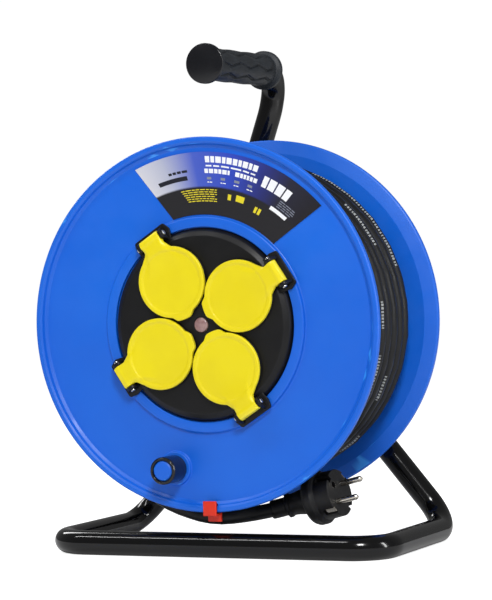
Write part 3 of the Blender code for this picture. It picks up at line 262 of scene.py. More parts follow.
def sweep(path, sides, radius_at, start=0, shape=None, centre_at=None, bm=None, caps=True):
    """A bar along path; radius_at(i, angle) gives its radius."""
    bm = bm or bmesh.new()
    rings = []
    for i, (point, (t, n, b)) in enumerate(zip(path, path_frames(path, start))):
        ring = []
        for j in range(sides):
            angle = 2 * math.pi * j / sides
            out = (n * math.cos(angle) + b * math.sin(angle)) * radius_at(i, angle)
            if shape:
                out = shape(i, out)
            ring.append(bm.verts.new((centre_at(i) if centre_at else point) + out))
        rings.append(ring)
    skin(bm, rings)
    if caps:
        bm.faces.new(rings[0][::-1])
        bm.faces.new(rings[-1])
    return bm


def fillet_path(corners, radii, steps=22):
    corners = [Vector(c) for c in corners]
    path = [corners[0]]
    for before, corner, after, radius in zip(corners, corners[1:], corners[2:], radii):
        if radius == 0:
            path.append(corner)
            continue
        a = (before - corner).normalized()
        b = (after - corner).normalized()
        half = a.angle(b) / 2
        centre = corner + (a + b).normalized() * radius / math.sin(half)
        first = (corner + a * radius / math.tan(half) - centre).normalized()
        last = (corner + b * radius / math.tan(half) - centre).normalized()
        count = max(3, round(steps * (math.pi - 2 * half) / (math.pi / 2)))
        path += [centre + first.slerp(last, i / count) * radius for i in range(count + 1)]
    path.append(corners[-1])
    dense = [path[0]]
    for a, b in zip(path, path[1:]):
        pieces = max(1, int((b - a).length / 6))
        dense += [a.lerp(b, k / pieces) for k in range(1, pieces + 1)]
    return dense


def catmull(points, per=20):
    """A smooth curve through points."""
    knots = [Vector(p) for p in points]
    knots = [2 * knots[0] - knots[1]] + knots + [2 * knots[-1] - knots[-2]]
    fine = []
    for a, b, c, d in zip(knots, knots[1:], knots[2:], knots[3:]):
        for i in range(per):
            t = i / per
            fine.append(0.5 * ((2 * b) + (c - a) * t + (2 * a - 5 * b + 4 * c - d) * t * t
                               + (3 * b - a - 3 * c + d) * t ** 3))
    fine.append(knots[-2])
    return fine


def even(points, step):
    """The same line with points a fixed distance apart."""
    length = sum((b - a).length for a, b in zip(points, points[1:]))
    count = max(2, round(length / step))
    out, gone = [points[0].copy()], 0.0
    for a, b in zip(points, points[1:]):
        run = (b - a).length
        while len(out) < count and run and gone + run >= length * len(out) / count:
            out.append(a.lerp(b, (length * len(out) / count - gone) / run))
        gone += run
    out.append(points[-1].copy())
    return out


def smoothstep(low, high, value):
    """0 at low and 1 at high, whichever of them is the larger."""
    t = min(1.0, max(0.0, (value - low) / (high - low)))
    return t * t * (3 - 2 * t)


def along_z(bm):
    bmesh.ops.transform(bm, matrix=Matrix.Rotation(math.radians(90), 4, "X"), verts=bm.verts)
    return bm


def shift(bm, by):
    bmesh.ops.translate(bm, vec=Vector(by), verts=bm.verts)
    return bm


def socket_matrix(number):
    """Carries +X to the direction of a socket, from the drum's axis."""
    degrees = SOCKET_ANGLE + 90 * (number - 1)
    return Matrix.Rotation(math.radians(-degrees), 4, "Y")


# ---- materials ----

def srgb(r, g, b):
    def channel(v):
        v /= 255
        return v / 12.92 if v <= 0.04045 else ((v + 0.055) / 1.055) ** 2.4
    return (channel(r), channel(g), channel(b), 1.0)


def feed(tree, node, inputs):
    """Sets or links a node's inputs. A name has _ where the socket's has a space."""
    for key, value in inputs.items():
        socket = node.inputs[key.replace("_", " ") if isinstance(key, str) else key]
        if isinstance(value, bpy.types.NodeSocket):
            tree.links.new(value, socket)
        else:
            socket.default_value = value


def add_node(tree, kind, output=0, settings=None, numbered=None, **inputs):
    """Adds a shader node and gives one of its outputs."""
    node = tree.nodes.new("ShaderNode" + kind)
    for key, value in (settings or {}).items():
        setattr(node, key, value)
    feed(tree, node, {**(numbered or {}), **inputs})
    return node.outputs[output]


def add_ramp(tree, factor, stops):
    """Colours along a factor, from stops of (position, colour)."""
    colour = add_node(tree, "ValToRGB", Fac=factor)
    elements = colour.node.color_ramp.elements
    ends = (stops[0], stops[-1])
    for element, (position, value) in zip(elements, ends):
        element.position = position
        element.color = value
    for position, value in stops[1:-1]:
        elements.new(position).color = value
    return colour


class Look:
    """A Principled material with a few procedural layers."""

    def __init__(self, name, colour, roughness, metallic=0.0, specular=0.5):
        self.mat = bpy.data.materials.new(name)
        self.mat.use_nodes = True
        self.tree = self.mat.node_tree
        self.shader = self.tree.nodes["Principled BSDF"]
        self.colour = colour
        self.base = None
        self.coords = self.node("TexCoord", "Object")
        self.set(Base_Color=self.colour, Roughness=roughness, Metallic=metallic,
                 Specular_IOR_Level=specular)

    def node(self, *args, **inputs):
        return add_node(self.tree, *args, **inputs)

    def set(self, **values):
        feed(self.tree, self.shader, values)

    def noise(self, scale, detail, stretch=None):
        point = self.coords
        if stretch:
            point = self.node("Mapping", Vector=point, Scale=stretch)
        return self.node("TexNoise", "Fac", Vector=point, Scale=scale, Detail=detail)

    def mix(self, factor, first, second):
        return self.node("Mix", "Result", {"data_type": "RGBA"}, Factor=factor, A=first,
                         B=second)

    def math(self, operation, *values):
        return self.node("Math", 0, {"operation": operation}, dict(enumerate(values)))

    def uv(self):
        split = self.node("SeparateXYZ", Vector=self.node("UVMap", "UV")).node
        return split.outputs["X"], split.outputs["Y"]

    def tint(self, other, scale, detail, low=0.4, high=0.6):
        """Drifts softly between the look's colour and another."""
        self.base = add_ramp(self.tree, self.noise(scale, detail),
                             ((low, self.colour), (high, other)))
        self.set(Base_Color=self.base)

    def edge_highlight(self, colour, low=0.52, high=0.6):
        """A painted highlight: a lighter colour on the convex edges, over the tint."""
        edge = self.node("NewGeometry", "Pointiness")
        share = self.node("MapRange", Value=edge, From_Min=low, From_Max=high)
        self.set(Base_Color=self.mix(share, self.base, colour))

    def polish(self, scale, detail, low, high):
        """Roughness that drifts between low and high."""
        self.set(Roughness=self.node("MapRange", Value=self.noise(scale, detail),
                                     From_Min=0.35, From_Max=0.65, To_Min=low, To_Max=high))

    def grain(self, scale, detail, strength, distance, stretch=None):
        self.set(Normal=self.node("Bump", Height=self.noise(scale, detail, stretch),
                                  Strength=strength, Distance=distance))


# Each look: its material's name, colour, roughness, metallic and specular, then its layers.
LAYERED_LOOKS = {
    "blue": (("drum_blue", srgb(4, 96, 212), 0.42), dict(
        # The lighter edge colour here is a painted highlight on the flange rims.
        tint=(srgb(8, 101, 217), 9, 4), edge_highlight=(srgb(52, 148, 246),),
        polish=(60, 4, 0.36, 0.48), grain=(900, 2, 0.12, 0.0004))),
    "black": (("moulded_black", srgb(13, 13, 15), 0.4, 0.0, 0.3), dict(
        polish=(45, 4, 0.34, 0.5), grain=(1400, 2, 0.2, 0.0003))),
    "gloss": (("gloss_black", srgb(12, 13, 18), 0.2), dict(polish=(70, 4, 0.16, 0.26))),
    "yellow": (("lid_yellow", srgb(232, 214, 4), 0.36), dict(
        # The lighter edge colour here is a painted highlight on the lid edges.
        tint=(srgb(228, 209, 4), 30, 3), edge_highlight=(srgb(250, 238, 60),),
        polish=(80, 4, 0.32, 0.42), grain=(1100, 2, 0.1, 0.0003))),
    "red": (("clip_red", srgb(222, 44, 4), 0.4), dict(
        tint=(srgb(214, 38, 4), 60, 3), grain=(900, 2, 0.1, 0.0003))),
    "white": (("bush_white", srgb(226, 226, 220), 0.4), dict(tint=(srgb(218, 218, 210), 40, 3))),
    "membrane": (("membrane", srgb(178, 146, 146), 0.3), dict(
        tint=(srgb(150, 112, 114), 260, 4, 0.35, 0.65))),
    "paint": (("tube_paint", srgb(7, 7, 8), 0.1, 0.0, 0.42), dict(
        polish=(25, 4, 0.07, 0.16), grain=(260, 3, 0.05, 0.0004))),
    "grip": (("grip_rubber", srgb(24, 28, 33), 0.5, 0.0, 0.4), dict(
        tint=(srgb(30, 35, 41), 120, 4), grain=(1800, 3, 0.35, 0.0003))),
    "rubber": (("plug_rubber", srgb(16, 16, 18), 0.42, 0.0, 0.35), dict(
        polish=(120, 4, 0.42, 0.58), grain=(1300, 3, 0.25, 0.0003))),
    "zinc": (("zinc", srgb(200, 200, 198), 0.28, 1.0), dict(
        polish=(200, 4, 0.2, 0.38), grain=(1500, 3, 0.1, 0.0002))),
    "brass": (("brass", srgb(214, 178, 104), 0.28, 1.0), dict(polish=(160, 4, 0.2, 0.36))),
    "nickel": (("nickel", srgb(214, 208, 196), 0.2, 1.0), dict(
        polish=(220, 4, 0.14, 0.28), grain=(700, 2, 0.08, 0.0002, (1, 1, 12)))),
}
INKS = {"print_white": srgb(236, 238, 242), "print_yellow": srgb(222, 206, 40),
        "print_dark": srgb(20, 22, 34), "print_grey": srgb(128, 134, 150)}
SLOT_LOOKS = {"gloss_black_paint": "paint", "grip_rubber": "grip", "zinc_steel": "zinc",
              "blue_plastic": "blue", "black_plastic": "black", "yellow_plastic": "yellow",
              "red_plastic": "red", "white_plastic": "white", "membrane": "membrane",
              "cable_rubber": "rubber", "label_print": "label", "brass": "brass",
              "nickel": "nickel"}
LOOKS = {}


def make_looks():
    for key, (facts, layers) in LAYERED_LOOKS.items():
        look = Look(*facts)
        for layer, values in layers.items():
            getattr(look, layer)(*values)
        if key == "membrane":
            look.set(Transmission_Weight=0.15, Coat_Weight=0.4, Coat_Roughness=0.1)
        LOOKS[key] = look.mat
    LOOKS["cable"] = cable_look()
    LOOKS["label"] = label_look()
    for name, ink in INKS.items():
        look = Look(name, ink, 0.4)
        look.polish(60, 3, 0.34, 0.48)
        look.grain(1800, 3, 0.15, 0.0001)
        LOOKS[name] = look.mat


def cable_look():
    """Black rubber sheath with broken runs of small pale marks along one side."""
    mark_pitch, run_pitch = 2.6, 21.0
    look = Look("cable_rubber", srgb(16, 17, 19), 0.46, 0.0, 0.3)
    along, around = look.uv()

    def dice(value):
        return look.node("TexWhiteNoise", "Value", {"noise_dimensions": "1D"}, W=value)

    chance = dice(look.math("FLOOR", look.math("DIVIDE", along, mark_pitch)))
    width = look.math("ADD", 1.1, look.math("MULTIPLY", chance, 0.8))
    mark = look.math("LESS_THAN", look.math("MODULO", along, mark_pitch), width)
    run = dice(look.math("FLOOR", look.math("DIVIDE", along, run_pitch)))
    shown = look.math("GREATER_THAN", run, 0.72)
    middle = look.math("ABSOLUTE", look.math("SUBTRACT", around, 0.5))
    band = look.math("LESS_THAN", middle, 0.03)
    factor = look.math("MULTIPLY", look.math("MULTIPLY", mark, shown), band)
    look.set(Base_Color=look.mix(factor, look.colour, srgb(150, 154, 156)))
    look.polish(90, 4, 0.38, 0.56)
    look.grain(1500, 3, 0.2, 0.0003)
    return look.mat


def label_look():
    """Printed foil: silver at the upper left, blue in the middle, black to the right."""
    look = Look("label_foil", srgb(40, 60, 160), 0.3)
    across, up = look.uv()
    upper = add_ramp(look.tree, across, (
        (0.0, srgb(206, 206, 214)), (0.13, srgb(176, 180, 200)), (0.3, srgb(70, 92, 190)),
        (0.5, srgb(46, 70, 182)), (0.68, srgb(38, 46, 120)), (0.82, srgb(34, 34, 52)),
        (1.0, srgb(26, 24, 30))))
    edge = look.node("MapRange", Value=up, From_Min=0.43, From_Max=0.46)
    look.set(Base_Color=look.mix(edge, srgb(30, 29, 33), upper), Coat_Weight=0.3,
             Coat_Roughness=0.15)
    look.grain(1200, 2, 0.05, 0.0002)
    return look.mat


# ---- camera and light ----

CAMERA_TURN, CAMERA_RISE, CAMERA_ROLL = 23.664, 1.256, -1.547
CAMERA_DISTANCE, CAMERA_RIGHT, CAMERA_UP = 2143.6, 34.735, 19.822
LENS, SENSOR = 161.3988, 36


def make_camera():
    """Camera in front of the drum and to its right, with a small roll."""
    azimuth, elevation, roll = (math.radians(a) for a in
                                (CAMERA_TURN, CAMERA_RISE, CAMERA_ROLL))
    back = Vector((math.sin(azimuth) * math.cos(elevation),
                   -math.cos(azimuth) * math.cos(elevation), math.sin(elevation)))
    right = (-back).cross(Vector((0, 0, 1))).normalized()
    up = right.cross(-back)
    c, s = math.cos(roll), math.sin(roll)
    right, up = right * c + up * s, up * c - right * s
    data = bpy.data.cameras.new("camera")
    data.sensor_width = SENSOR
    data.lens = LENS
    data.clip_end = 50
    camera = bpy.data.objects.new("camera", data)
    basis = Matrix((right, up, back)).transposed().to_4x4()
    basis.translation = place(back * CAMERA_DISTANCE + right * CAMERA_RIGHT + up * CAMERA_UP)
    camera.matrix_world = basis
    bpy.context.scene.collection.objects.link(camera)
    bpy.context.scene.camera = camera


def area_light(name, at, target, size, energy, size_y=None):
    data = bpy.data.lights.new(name, "AREA")
    data.energy = energy
    data.size = size
    if size_y:
        data.shape = "RECTANGLE"
        data.size_y = size_y
    light = bpy.data.objects.new(name, data)
    light.location = at
    direction = Vector(target) - Vector(at)
    light.rotation_euler = direction.to_track_quat("-Z", "Y").to_euler()
    bpy.context.scene.collection.objects.link(light)


def glow(tree, seen, cast):
    """One strength for what the camera sees itself, another for the light cast on things."""
    ray = add_node(tree, "LightPath", "Is Camera Ray")
    return add_node(tree, "MapRange", Value=ray, To_Min=cast, To_Max=seen)


def make_floor():
    bm = bmesh.new()
    bmesh.ops.create_grid(bm, x_segments=1, y_segments=1, size=6)
    mesh = bpy.data.meshes.new("floor")
    bm.to_mesh(mesh)
    bm.free()
    look = Look("floor_paper", (0.8, 0.8, 0.8, 1), 0.8, 0.0, 0.1)
    look.polish(4, 2, 0.75, 0.85)
    look.set(Emission_Color=(1, 1, 1, 1), Emission_Strength=glow(look.tree, 0.84, 0.08))
    mesh.materials.append(look.mat)
    floor = bpy.data.objects.new("floor", mesh)
    bpy.context.scene.collection.objects.link(floor)


def make_studio():
    """Pale floor and surroundings, four area lights."""
    make_floor()
    world = bpy.data.worlds.new("studio")
    world.use_nodes = True
    tree = world.node_tree
    feed(tree, tree.nodes["Background"], {"Color": (1, 1, 1, 1),
                                          "Strength": glow(tree, 1.02, 0.2)})
    bpy.context.scene.world = world
    drum = (0, 0, 0.2)
    area_light("key", (0.9, -1.7, 1.5), drum, 0.5, 34)
    area_light("strip", (1.9, -0.1, 0.7), drum, 0.2, 14, 1.2)
    area_light("top", (-0.75, -0.7, 1.3), (-0.75, 0.1, 0), 1.1, 6, 0.06)
    area_light("rear", (-1.3, 0.6, 1.3), drum, 0.3, 10, 1.0)
    bpy.context.scene.view_settings.view_transform = "Standard"


# ---- stand ----

def make_frame_tube():
    """One bent tube: a flattened end at the hub, left leg, base, right leg and handle."""
    radius, wall, hub_y, flat_y = 10.0, 1.2, 166.0, 160.2
    side_x, front_y, rear_y = 142.6, 9, 174
    base_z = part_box("frame_tube")[0].z / MM - AXIS_HEIGHT + radius
    left = Vector((-side_x, rear_y, base_z))
    hub = Vector((0, hub_y, 0))
    leg = (left - hub).normalized()
    corners = [hub + leg * 13, left, (-side_x, front_y, base_z), (side_x, front_y, base_z),
               (side_x, rear_y, base_z), hub, (-47, hub_y, 60.6), (-6.5, hub_y, 176.5),
               (0, hub_y, HANDLE_Z), (0, 24, HANDLE_Z)]
    path = fillet_path(corners, [28, 28, 28, 28, 0, 60, 80, 24])
    leg_normal = leg.cross(Vector((0, 1, 0))).normalized()
    middle = Vector((0, front_y, base_z))
    front = min(range(len(path)), key=lambda i: (path[i] - middle).length)

    def share(i):
        if i > front:
            return 0.0
        return 1 - smoothstep(39, 62, (path[i] - hub).length)

    def centre(i):
        point = path[i].copy()
        point.y += (flat_y - point.y) * share(i)
        return point

    def flatten(i, out):
        part = share(i)
        across = out.dot(leg_normal)
        rest = out - leg_normal * across - Vector((0, out.y, 0))
        return (rest + leg_normal * across * (1 + 0.25 * part)
                + Vector((0, out.y * (1 - 0.58 * part), 0)))

    bm = bmesh.new()
    for skin_radius in (radius, radius - wall):
        sweep(path, 40, lambda i, a: skin_radius, front, flatten, centre, bm, caps=False)
    bmesh.ops.bridge_loops(bm, edges=[e for e in bm.edges if e.is_boundary
                                      and (e.verts[0].co - path[0]).length < 20])
    bmesh.ops.bridge_loops(bm, edges=[e for e in bm.edges if e.is_boundary])
    finish_piece("stand_tube", bm, "gloss_black_paint", "stand", ["frame_tube"])


def make_grip():
    """Moulded grip: a closed end disc, a rear ring and zigzag grooves between pads."""
    length, start = 124.0, 17.0
    rows, sides = 300, 144
    period, lines, swing = 37.0, 8, 0.2
    core, ring, bore, end_round = 12.9, 16.3, 10.3, 0.7
    bm = bmesh.new()

    def body(s, angle):
        zigzag = abs(((s - 8) / period % 1) * 2 - 1) * 2 - 1
        lane_place = angle / (2 * math.pi) * lines
        gap = min(abs(lane_place - lane - (-1) ** (lane % 2) * swing * zigzag)
                  for lane in (math.floor(lane_place), math.floor(lane_place) + 1))
        groove = 1 - smoothstep(0.04, 0.13, gap)
        radius = 13.0 + 0.55 * smoothstep(0.1, 0.5, gap) - 1.7 * groove
        ends = smoothstep(4, 12, s) * (1 - smoothstep(length - 14, length - 6, s))
        return core + (radius - core) * ends

    def rounded(from_end):
        return ring - 0.7 * (1 - min(1.0, from_end / end_round)) ** 2

    def radius_at(s, angle):
        base = body(s, angle)
        if s < 5.5:
            return rounded(s) if s < 3.6 else (
                ring + (base - ring) * smoothstep(3.6, 5.5, s))
        if s > length - 6.5:
            end = length - s
            if end > 4.4:
                return base + (ring - base) * smoothstep(6.5, 4.4, end)
            return rounded(end)
        return base

    def circle(y, radius):
        """A ring of vertices round the handle; radius is a function of the angle."""
        turns = [2 * math.pi * j / sides for j in range(sides)]
        return [bm.verts.new((radius(a) * math.cos(a), y, HANDLE_Z + radius(a) * math.sin(a)))
                for a in turns]

    edge = [0, 0.1, 0.25, 0.45, end_round]
    stations = edge + [end_round + (length - 2 * end_round) * i / rows
                       for i in range(1, rows)]
    stations += [length - s for s in reversed(edge)]
    rings = [circle(start + s, lambda a, s=s: radius_at(s, a)) for s in stations]
    skin(bm, rings)
    centre = bm.verts.new((0, start + 0.15, HANDLE_Z))
    for j in range(sides):
        bm.faces.new((rings[0][j], rings[0][(j + 1) % sides], centre))
    inner = [circle(y, lambda a: bore) for y in (start + length, start + 6)]
    skin(bm, [rings[-1]] + inner)
    bm.faces.new(inner[-1])
    bm.verts.ensure_lookup_table()
    # Painted shade: the end disc's faces get a darker gloss black, though the disc is moulded
    # with the rest of the grip.
    disc = set(bm.verts[:len(edge) * sides]) | {centre}
    for face in bm.faces:
        if all(v in disc for v in face.verts):
            face.material_index = 1
    grip = finish_piece("grip", bm, "grip_rubber", "stand", ["handle_grip"], sharp=50)
    # The second material darkens the end disc as painted shade.
    grip.data.materials.append(LOOKS["gloss"])


def hexagon(across, turn=0):
    return arc((0, 0), across / math.sqrt(3), turn, turn + 300, 5)


def make_hub():
    bolt = bmesh.new()
    prism(hexagon(17, 12), 176.3, 183.3, 0.5, bm=bolt)
    lathe([(0, 182), (8.1, 182), (7.6, 183.45), (0, 183.45)], 48, bm=bolt)
    lathe([(0, 80), (4.2, 80), (5, 81), (5, 177), (0, 177)], 40, bm=bolt)
    finish_piece("axle_bolt_fine", bolt, "zinc_steel", "stand", ["axle_bolt"])


# ---- drum ----

def rim_outline():
    return [(141.2, 5.0, 1.2), (143.6, 3.2, 1.4), (144.6, 1.0, 1.2), (146.4, 0.0, 1.0),
            (149.2, 0.0, 1.0), (150.0, 1.1, 0.8), (150.0, 4.8, 0.5), (148.9, 5.5, 0.6),
            (139.0, 8.0, 2.0)]


def make_front_half():
    corners = [(72.0, 5.3, 0), (78.0, 5.3, 0), (78.0, 2.0, 0.7), (86.3, 2.0, 1.6),
               (86.9, 5.0, 1.6)]
    corners += rim_outline()
    corners += [(84.0, 8.0, 1.0), (84.0, 71.1, 0.3), (81.0, 71.1, 0), (81.0, 8.0, 0),
                (72.0, 8.0, 0)]
    bm = lathe(fillet(corners), 256)
    boss = fillet([(6.3, 8.0, 0), (6.3, 2.5, 0.3), (13.4, 2.5, 1.0), (13.8, 5.0, 1.2),
                   (17.0, 5.2, 0), (17.0, 8.0, 0)])
    lathe(boss, 64, KNOB, bm)
    finish_piece("front_flange", bm, "blue_plastic", "drum", ["front_drum_half"])


def make_rear_half():
    corners = [(14.3, 99.9, 0), (18.0, 99.9, 0.5), (18.0, 134.9, 1.0), (81.0, 134.9, 1.0),
               (81.0, 71.8, 0), (84.0, 71.8, 0.3), (84.0, 134.9, 1.0)]
    corners += [(r, DRUM_WIDTH - y, f) for r, y, f in reversed(rim_outline())]
    corners += [(120.0, 137.9, 0.5), (119.5, 138.9, 0.4), (117.0, 138.9, 0.4),
                (116.5, 137.9, 0.5), (62.0, 137.9, 0.5), (61.5, 139.4, 0.4),
                (59.0, 139.4, 0.4), (58.5, 137.9, 0.5),
                (23.0, 137.9, 1.0), (23.0, 140.9, 0.6), (14.3, 140.9, 0)]
    bm = lathe(fillet(corners), 256)
    for k in range(6):
        rib = rounded_box((22, 136.9, -1.5), (142.5, 141.4, 1.5), 0.6)
        turn = Matrix.Rotation(2 * math.pi * (k + 0.5) / 6, 4, "Y")
        merge(bm, rib, turn)
    finish_piece("rear_flange", bm, "blue_plastic", "drum", ["rear_drum_half"])


def merge(bm, other, matrix=None):
    """Adds another bmesh to bm and frees it."""
    if matrix:
        bmesh.ops.transform(other, matrix=matrix, verts=other.verts)
    mesh = bpy.data.meshes.new("part")
    other.to_mesh(mesh)
    other.free()
    bm.from_mesh(mesh)
    bpy.data.meshes.remove(mesh)


def make_socket_plate():
    back = 0.5
    profile = fillet([(6.3, back, 0), (6.3, -2.5, 0.3), (71.0, -2.5, 2.6), (75.2, 0.0, 3.5),
                      (77.6, 4.95, 0.6), (74.6, 4.95, 0), (72.6, 1.6, 1.5), (70.5, back, 1.0)])
    bm = lathe(profile, 192)
    plate = finish_piece("plate", bm, "black_plastic", "drum", ["socket_plate"])
    for number in range(1, SOCKETS + 1):
        hole = lathe([(0, -6), (21.9, -6), (21.9, 2), (0, 2)], 64, (SOCKET_RADIUS, 0))
        cut_away(plate, hole, socket_matrix(number))
    for number in range(1, SOCKETS + 1):
        bm = bmesh.new()
        collar = fillet([(21.9, -2.0, 0), (21.9, -5.0, 0.4), (28.6, -5.0, 0.8),
                         (29.0, -2.0, 0)])
        lathe(collar, 96, (SOCKET_RADIUS, 0), bm)
        make_hinge_mount(bm)
        finish_piece(f"socket_mount_{number}", bm, "black_plastic", "drum",
                     matrix=socket_matrix(number))


def make_hinge_mount(bm):
    """Pad over the drum's collar with two ears for the hinge pin."""
    pad = fillet([(68.0, -16.0, 2), (80.0, -20.0, 2), (86.6, -17.5, 2), (86.6, 12.5, 2),
                  (80.0, 14.0, 2), (68.0, 12.0, 2)])
    prism(pad, -0.8, 1.6, 0.5, bm)
    for low, high in ((-12.5, -9.75), (9.75, 12.5)):
        outline = fillet([(72.0, 1.2, 0), (73.5, -3.5, 2.5), (75.4, -9.2, 3.6),
                          (81.6, -9.2, 3.6), (83.6, -4.0, 2.5), (85.6, 1.2, 0)], steps=8)
        ear = bmesh.new()
        prism([(x, -y) for x, y in outline], HINGE_SHIFT + low, HINGE_SHIFT + high, 0.45, ear)
        merge(bm, along_z(ear))


def make_wells():
    """Socket inserts: a well with two contact holes, and its earth pin."""
    for number in range(1, SOCKETS + 1):
        turn = socket_matrix(number)
        profile = fillet([(0, 12.3, 0), (19.6, 12.3, 0.6), (19.6, -4.7, 0.5),
                          (21.6, -4.7, 0.3), (21.6, 15.3, 0), (0, 15.3, 0)])
        bm = lathe(profile, 72, (SOCKET_RADIUS, 0))
        insert = finish_piece(f"well_{number}", bm, "black_plastic", "drum",
                              [f"socket_insert_{number}"], matrix=turn)
        for side in (-1, 1):
            hole = lathe([(0, 11), (2.7, 11), (2.7, 14.6), (0, 14.6)], 24,
                         (SOCKET_RADIUS, side * 9.5))
            cut_away(insert, hole, turn)
        pin = fillet([(0, -1.7, 0), (1.6, -1.7, 0.6), (2.4, 0.2, 0.8), (2.4, 18.3, 0),
                      (0, 18.3, 0)])
        finish_piece(f"earth_pin_fine_{number}", lathe(pin, 32, (SOCKET_RADIUS - 10, 0)),
                     "brass", "drum", [f"earth_pin_{number}"], matrix=turn)


# ---- lids ----

LID_R = 28.7
BARREL_R = 4.5
BORDER_OUTER, BORDER_INNER = 25.6, 24.9
ARM_LOW, ARM_HIGH = HINGE_SHIFT - 9.3, HINGE_SHIFT + 9.3


def lid_outline():
    """Plan of a lid in (u, v): u outwards from the drum's axis, v counter-clockwise."""
    low = math.degrees(math.asin(ARM_LOW / LID_R)) - 7
    high = math.degrees(math.asin(ARM_HIGH / LID_R)) + 15
    points = [(82.5, ARM_LOW, 0.8), (82.5, ARM_HIGH, 0.8), (76.5, ARM_HIGH, 0),
              (72.0, ARM_HIGH, 4.0)]
    tab_mid, tab_half, tab_reach = 167, 21, 3.0
    steps = 150
    for i in range(steps + 1):
        a = high + (360 + low - high) * i / steps
        bump = tab_reach * smoothstep(0, 1, 1.7 * (1 - abs(a - tab_mid) / tab_half))
        u, v = polar(LID_R + bump, a)
        points.append((SOCKET_RADIUS + u, v, 0))
    points += [(72.0, ARM_LOW, 4.0), (76.5, ARM_LOW, 0)]
    return fillet(points, steps=5)


def plate_mesh(bm, outline, top_at, bottom, edge, creases=(), grid=1.6):
    """A plate whose upper side follows top_at(x, z) and whose rim is rounded by edge.

    Creases are closed lines of (x, z) that the upper side's mesh follows."""
    if signed_area(outline) < 0:
        outline = outline[::-1]
    turn = [math.radians(90 * k / 5) for k in range(6)]
    layers = [(edge * (1 - math.cos(a)), edge * (1 - math.sin(a))) for a in turn]
    rings = [[bm.verts.new((x, bottom, z)) for x, z in outline]]
    for inset, drop in layers:
        line = offset(outline, -inset)
        rings.append([bm.verts.new((x, top_at(x, z) + drop, z)) for x, z in line])
    skin(bm, rings)
    inner = [Vector((v.co.x, v.co.z)) for v in rings[-1]]
    count = len(inner)
    low = Vector((min(p.x for p in inner), min(p.y for p in inner)))
    high = Vector((max(p.x for p in inner), max(p.y for p in inner)))
    extra = []
    inside = offset([tuple(p) for p in inner], -grid * 0.7)
    for i in range(int((high.x - low.x) / grid) + 1):
        for j in range(int((high.y - low.y) / grid) + 1):
            p = Vector((low.x + (i + 0.5 * (j % 2)) * grid, low.y + j * grid))
            near = any((Vector(q) - p).length < 0.5 for line in creases for q in line)
            if in_outline(p, inside) and not near:
                extra.append(p)
    edges = [(i, (i + 1) % count) for i in range(count)]
    for line in creases:
        first = count + len(extra)
        edges += [(first + i, first + (i + 1) % len(line)) for i in range(len(line))]
        extra += [Vector(q) for q in line]
    made = delaunay_2d_cdt(inner + extra, edges, [], 1, 1e-5)
    verts, faces, origins = made[0], made[2], made[3]
    table = []
    for position, source in zip(verts, origins):
        if source and source[0] < count:
            table.append(rings[-1][source[0]])
        else:
            table.append(bm.verts.new((position.x, top_at(position.x, position.y),
                                       position.y)))
    for face in faces:
        corners = [table[i] for i in face]
        if len(set(corners)) == len(corners):
            try:
                bm.faces.new(corners)
            except ValueError:
                pass
    bm.faces.new(rings[0][::-1])


def in_outline(point, outline):
    x, y = point
    inside = False
    for (x0, y0), (x1, y1) in zip(outline, outline[1:] + outline[:1]):
        if (y0 > y) != (y1 > y) and x < (x1 - x0) * (y - y0) / (y1 - y0) + x0:
            inside = not inside
    return inside


def lid_top(u, v):
    """Height of the lid's outer face: border ring, shallow dish and the arm's plateau."""
    r = math.hypot(u - SOCKET_RADIUS, v)
    y = -8.5 + 0.6 * smoothstep(BORDER_OUTER, BORDER_INNER, r)
    along = smoothstep(49, 72, u)
    half = 9.3 + 9 * (1 - along)
    side = smoothstep(half, half - 1.4, abs(v - HINGE_SHIFT * along))
    y -= 1.15 * along * side
    barrel = max(0.0, BARREL_R ** 2 - (u - HINGE_RADIUS) ** 2)
    y = min(y, HINGE_Y - math.sqrt(barrel)) if u > 75.8 else y
    return y


def make_lids():
    outline = lid_outline()
    creases = [arc((SOCKET_RADIUS, 0), r, 0, 360, 120)[:-1]
               for r in (BORDER_OUTER, BORDER_INNER)]
    for number in range(1, SOCKETS + 1):
        turn = socket_matrix(number)
        bm = bmesh.new()
        plate_mesh(bm, outline, lid_top, -5.6, 0.7, creases)
        barrel = bmesh.new()
        lathe(fillet([(0, ARM_LOW, 0), (BARREL_R, ARM_LOW, 0.5), (BARREL_R, ARM_HIGH, 0.5),
                      (0, ARM_HIGH, 0)]), 40, bm=barrel)
        merge(bm, shift(along_z(barrel), (HINGE_RADIUS, HINGE_Y, 0)))
        finish_piece(f"lid_cover_{number}", bm, "yellow_plastic", f"lid_{number}_body",
                     [f"lid_{number}"], sharp=50, matrix=turn)
        pin = fillet([(0, -14.0, 0), (2.1, -14.0, 0.6), (2.1, -12.8, 0.3), (1.5, -12.8, 0),
                      (1.5, 12.8, 0), (2.1, 12.8, 0.3), (2.1, 14.0, 0.6), (0, 14.0, 0)])
        bm = along_z(lathe(pin, 32))
        shift(bm, (HINGE_RADIUS, HINGE_Y, HINGE_SHIFT))
        finish_piece(f"lid_pin_{number}", bm, "zinc_steel", "drum",
                     [f"hinge_pin_{number}"], matrix=turn)


# ---- small pieces of the drum ----

def make_button():
    profile = fillet([(0, -3.7, 0), (4.6, -3.6, 1.2), (5.9, -2.9, 0.8), (5.9, -0.5, 0),
                      (2.5, -0.5, 0), (2.5, 7.7, 0), (0, 7.7, 0)])
    finish_piece("button", lathe(profile, 64), "membrane", "button", ["reset_button"])


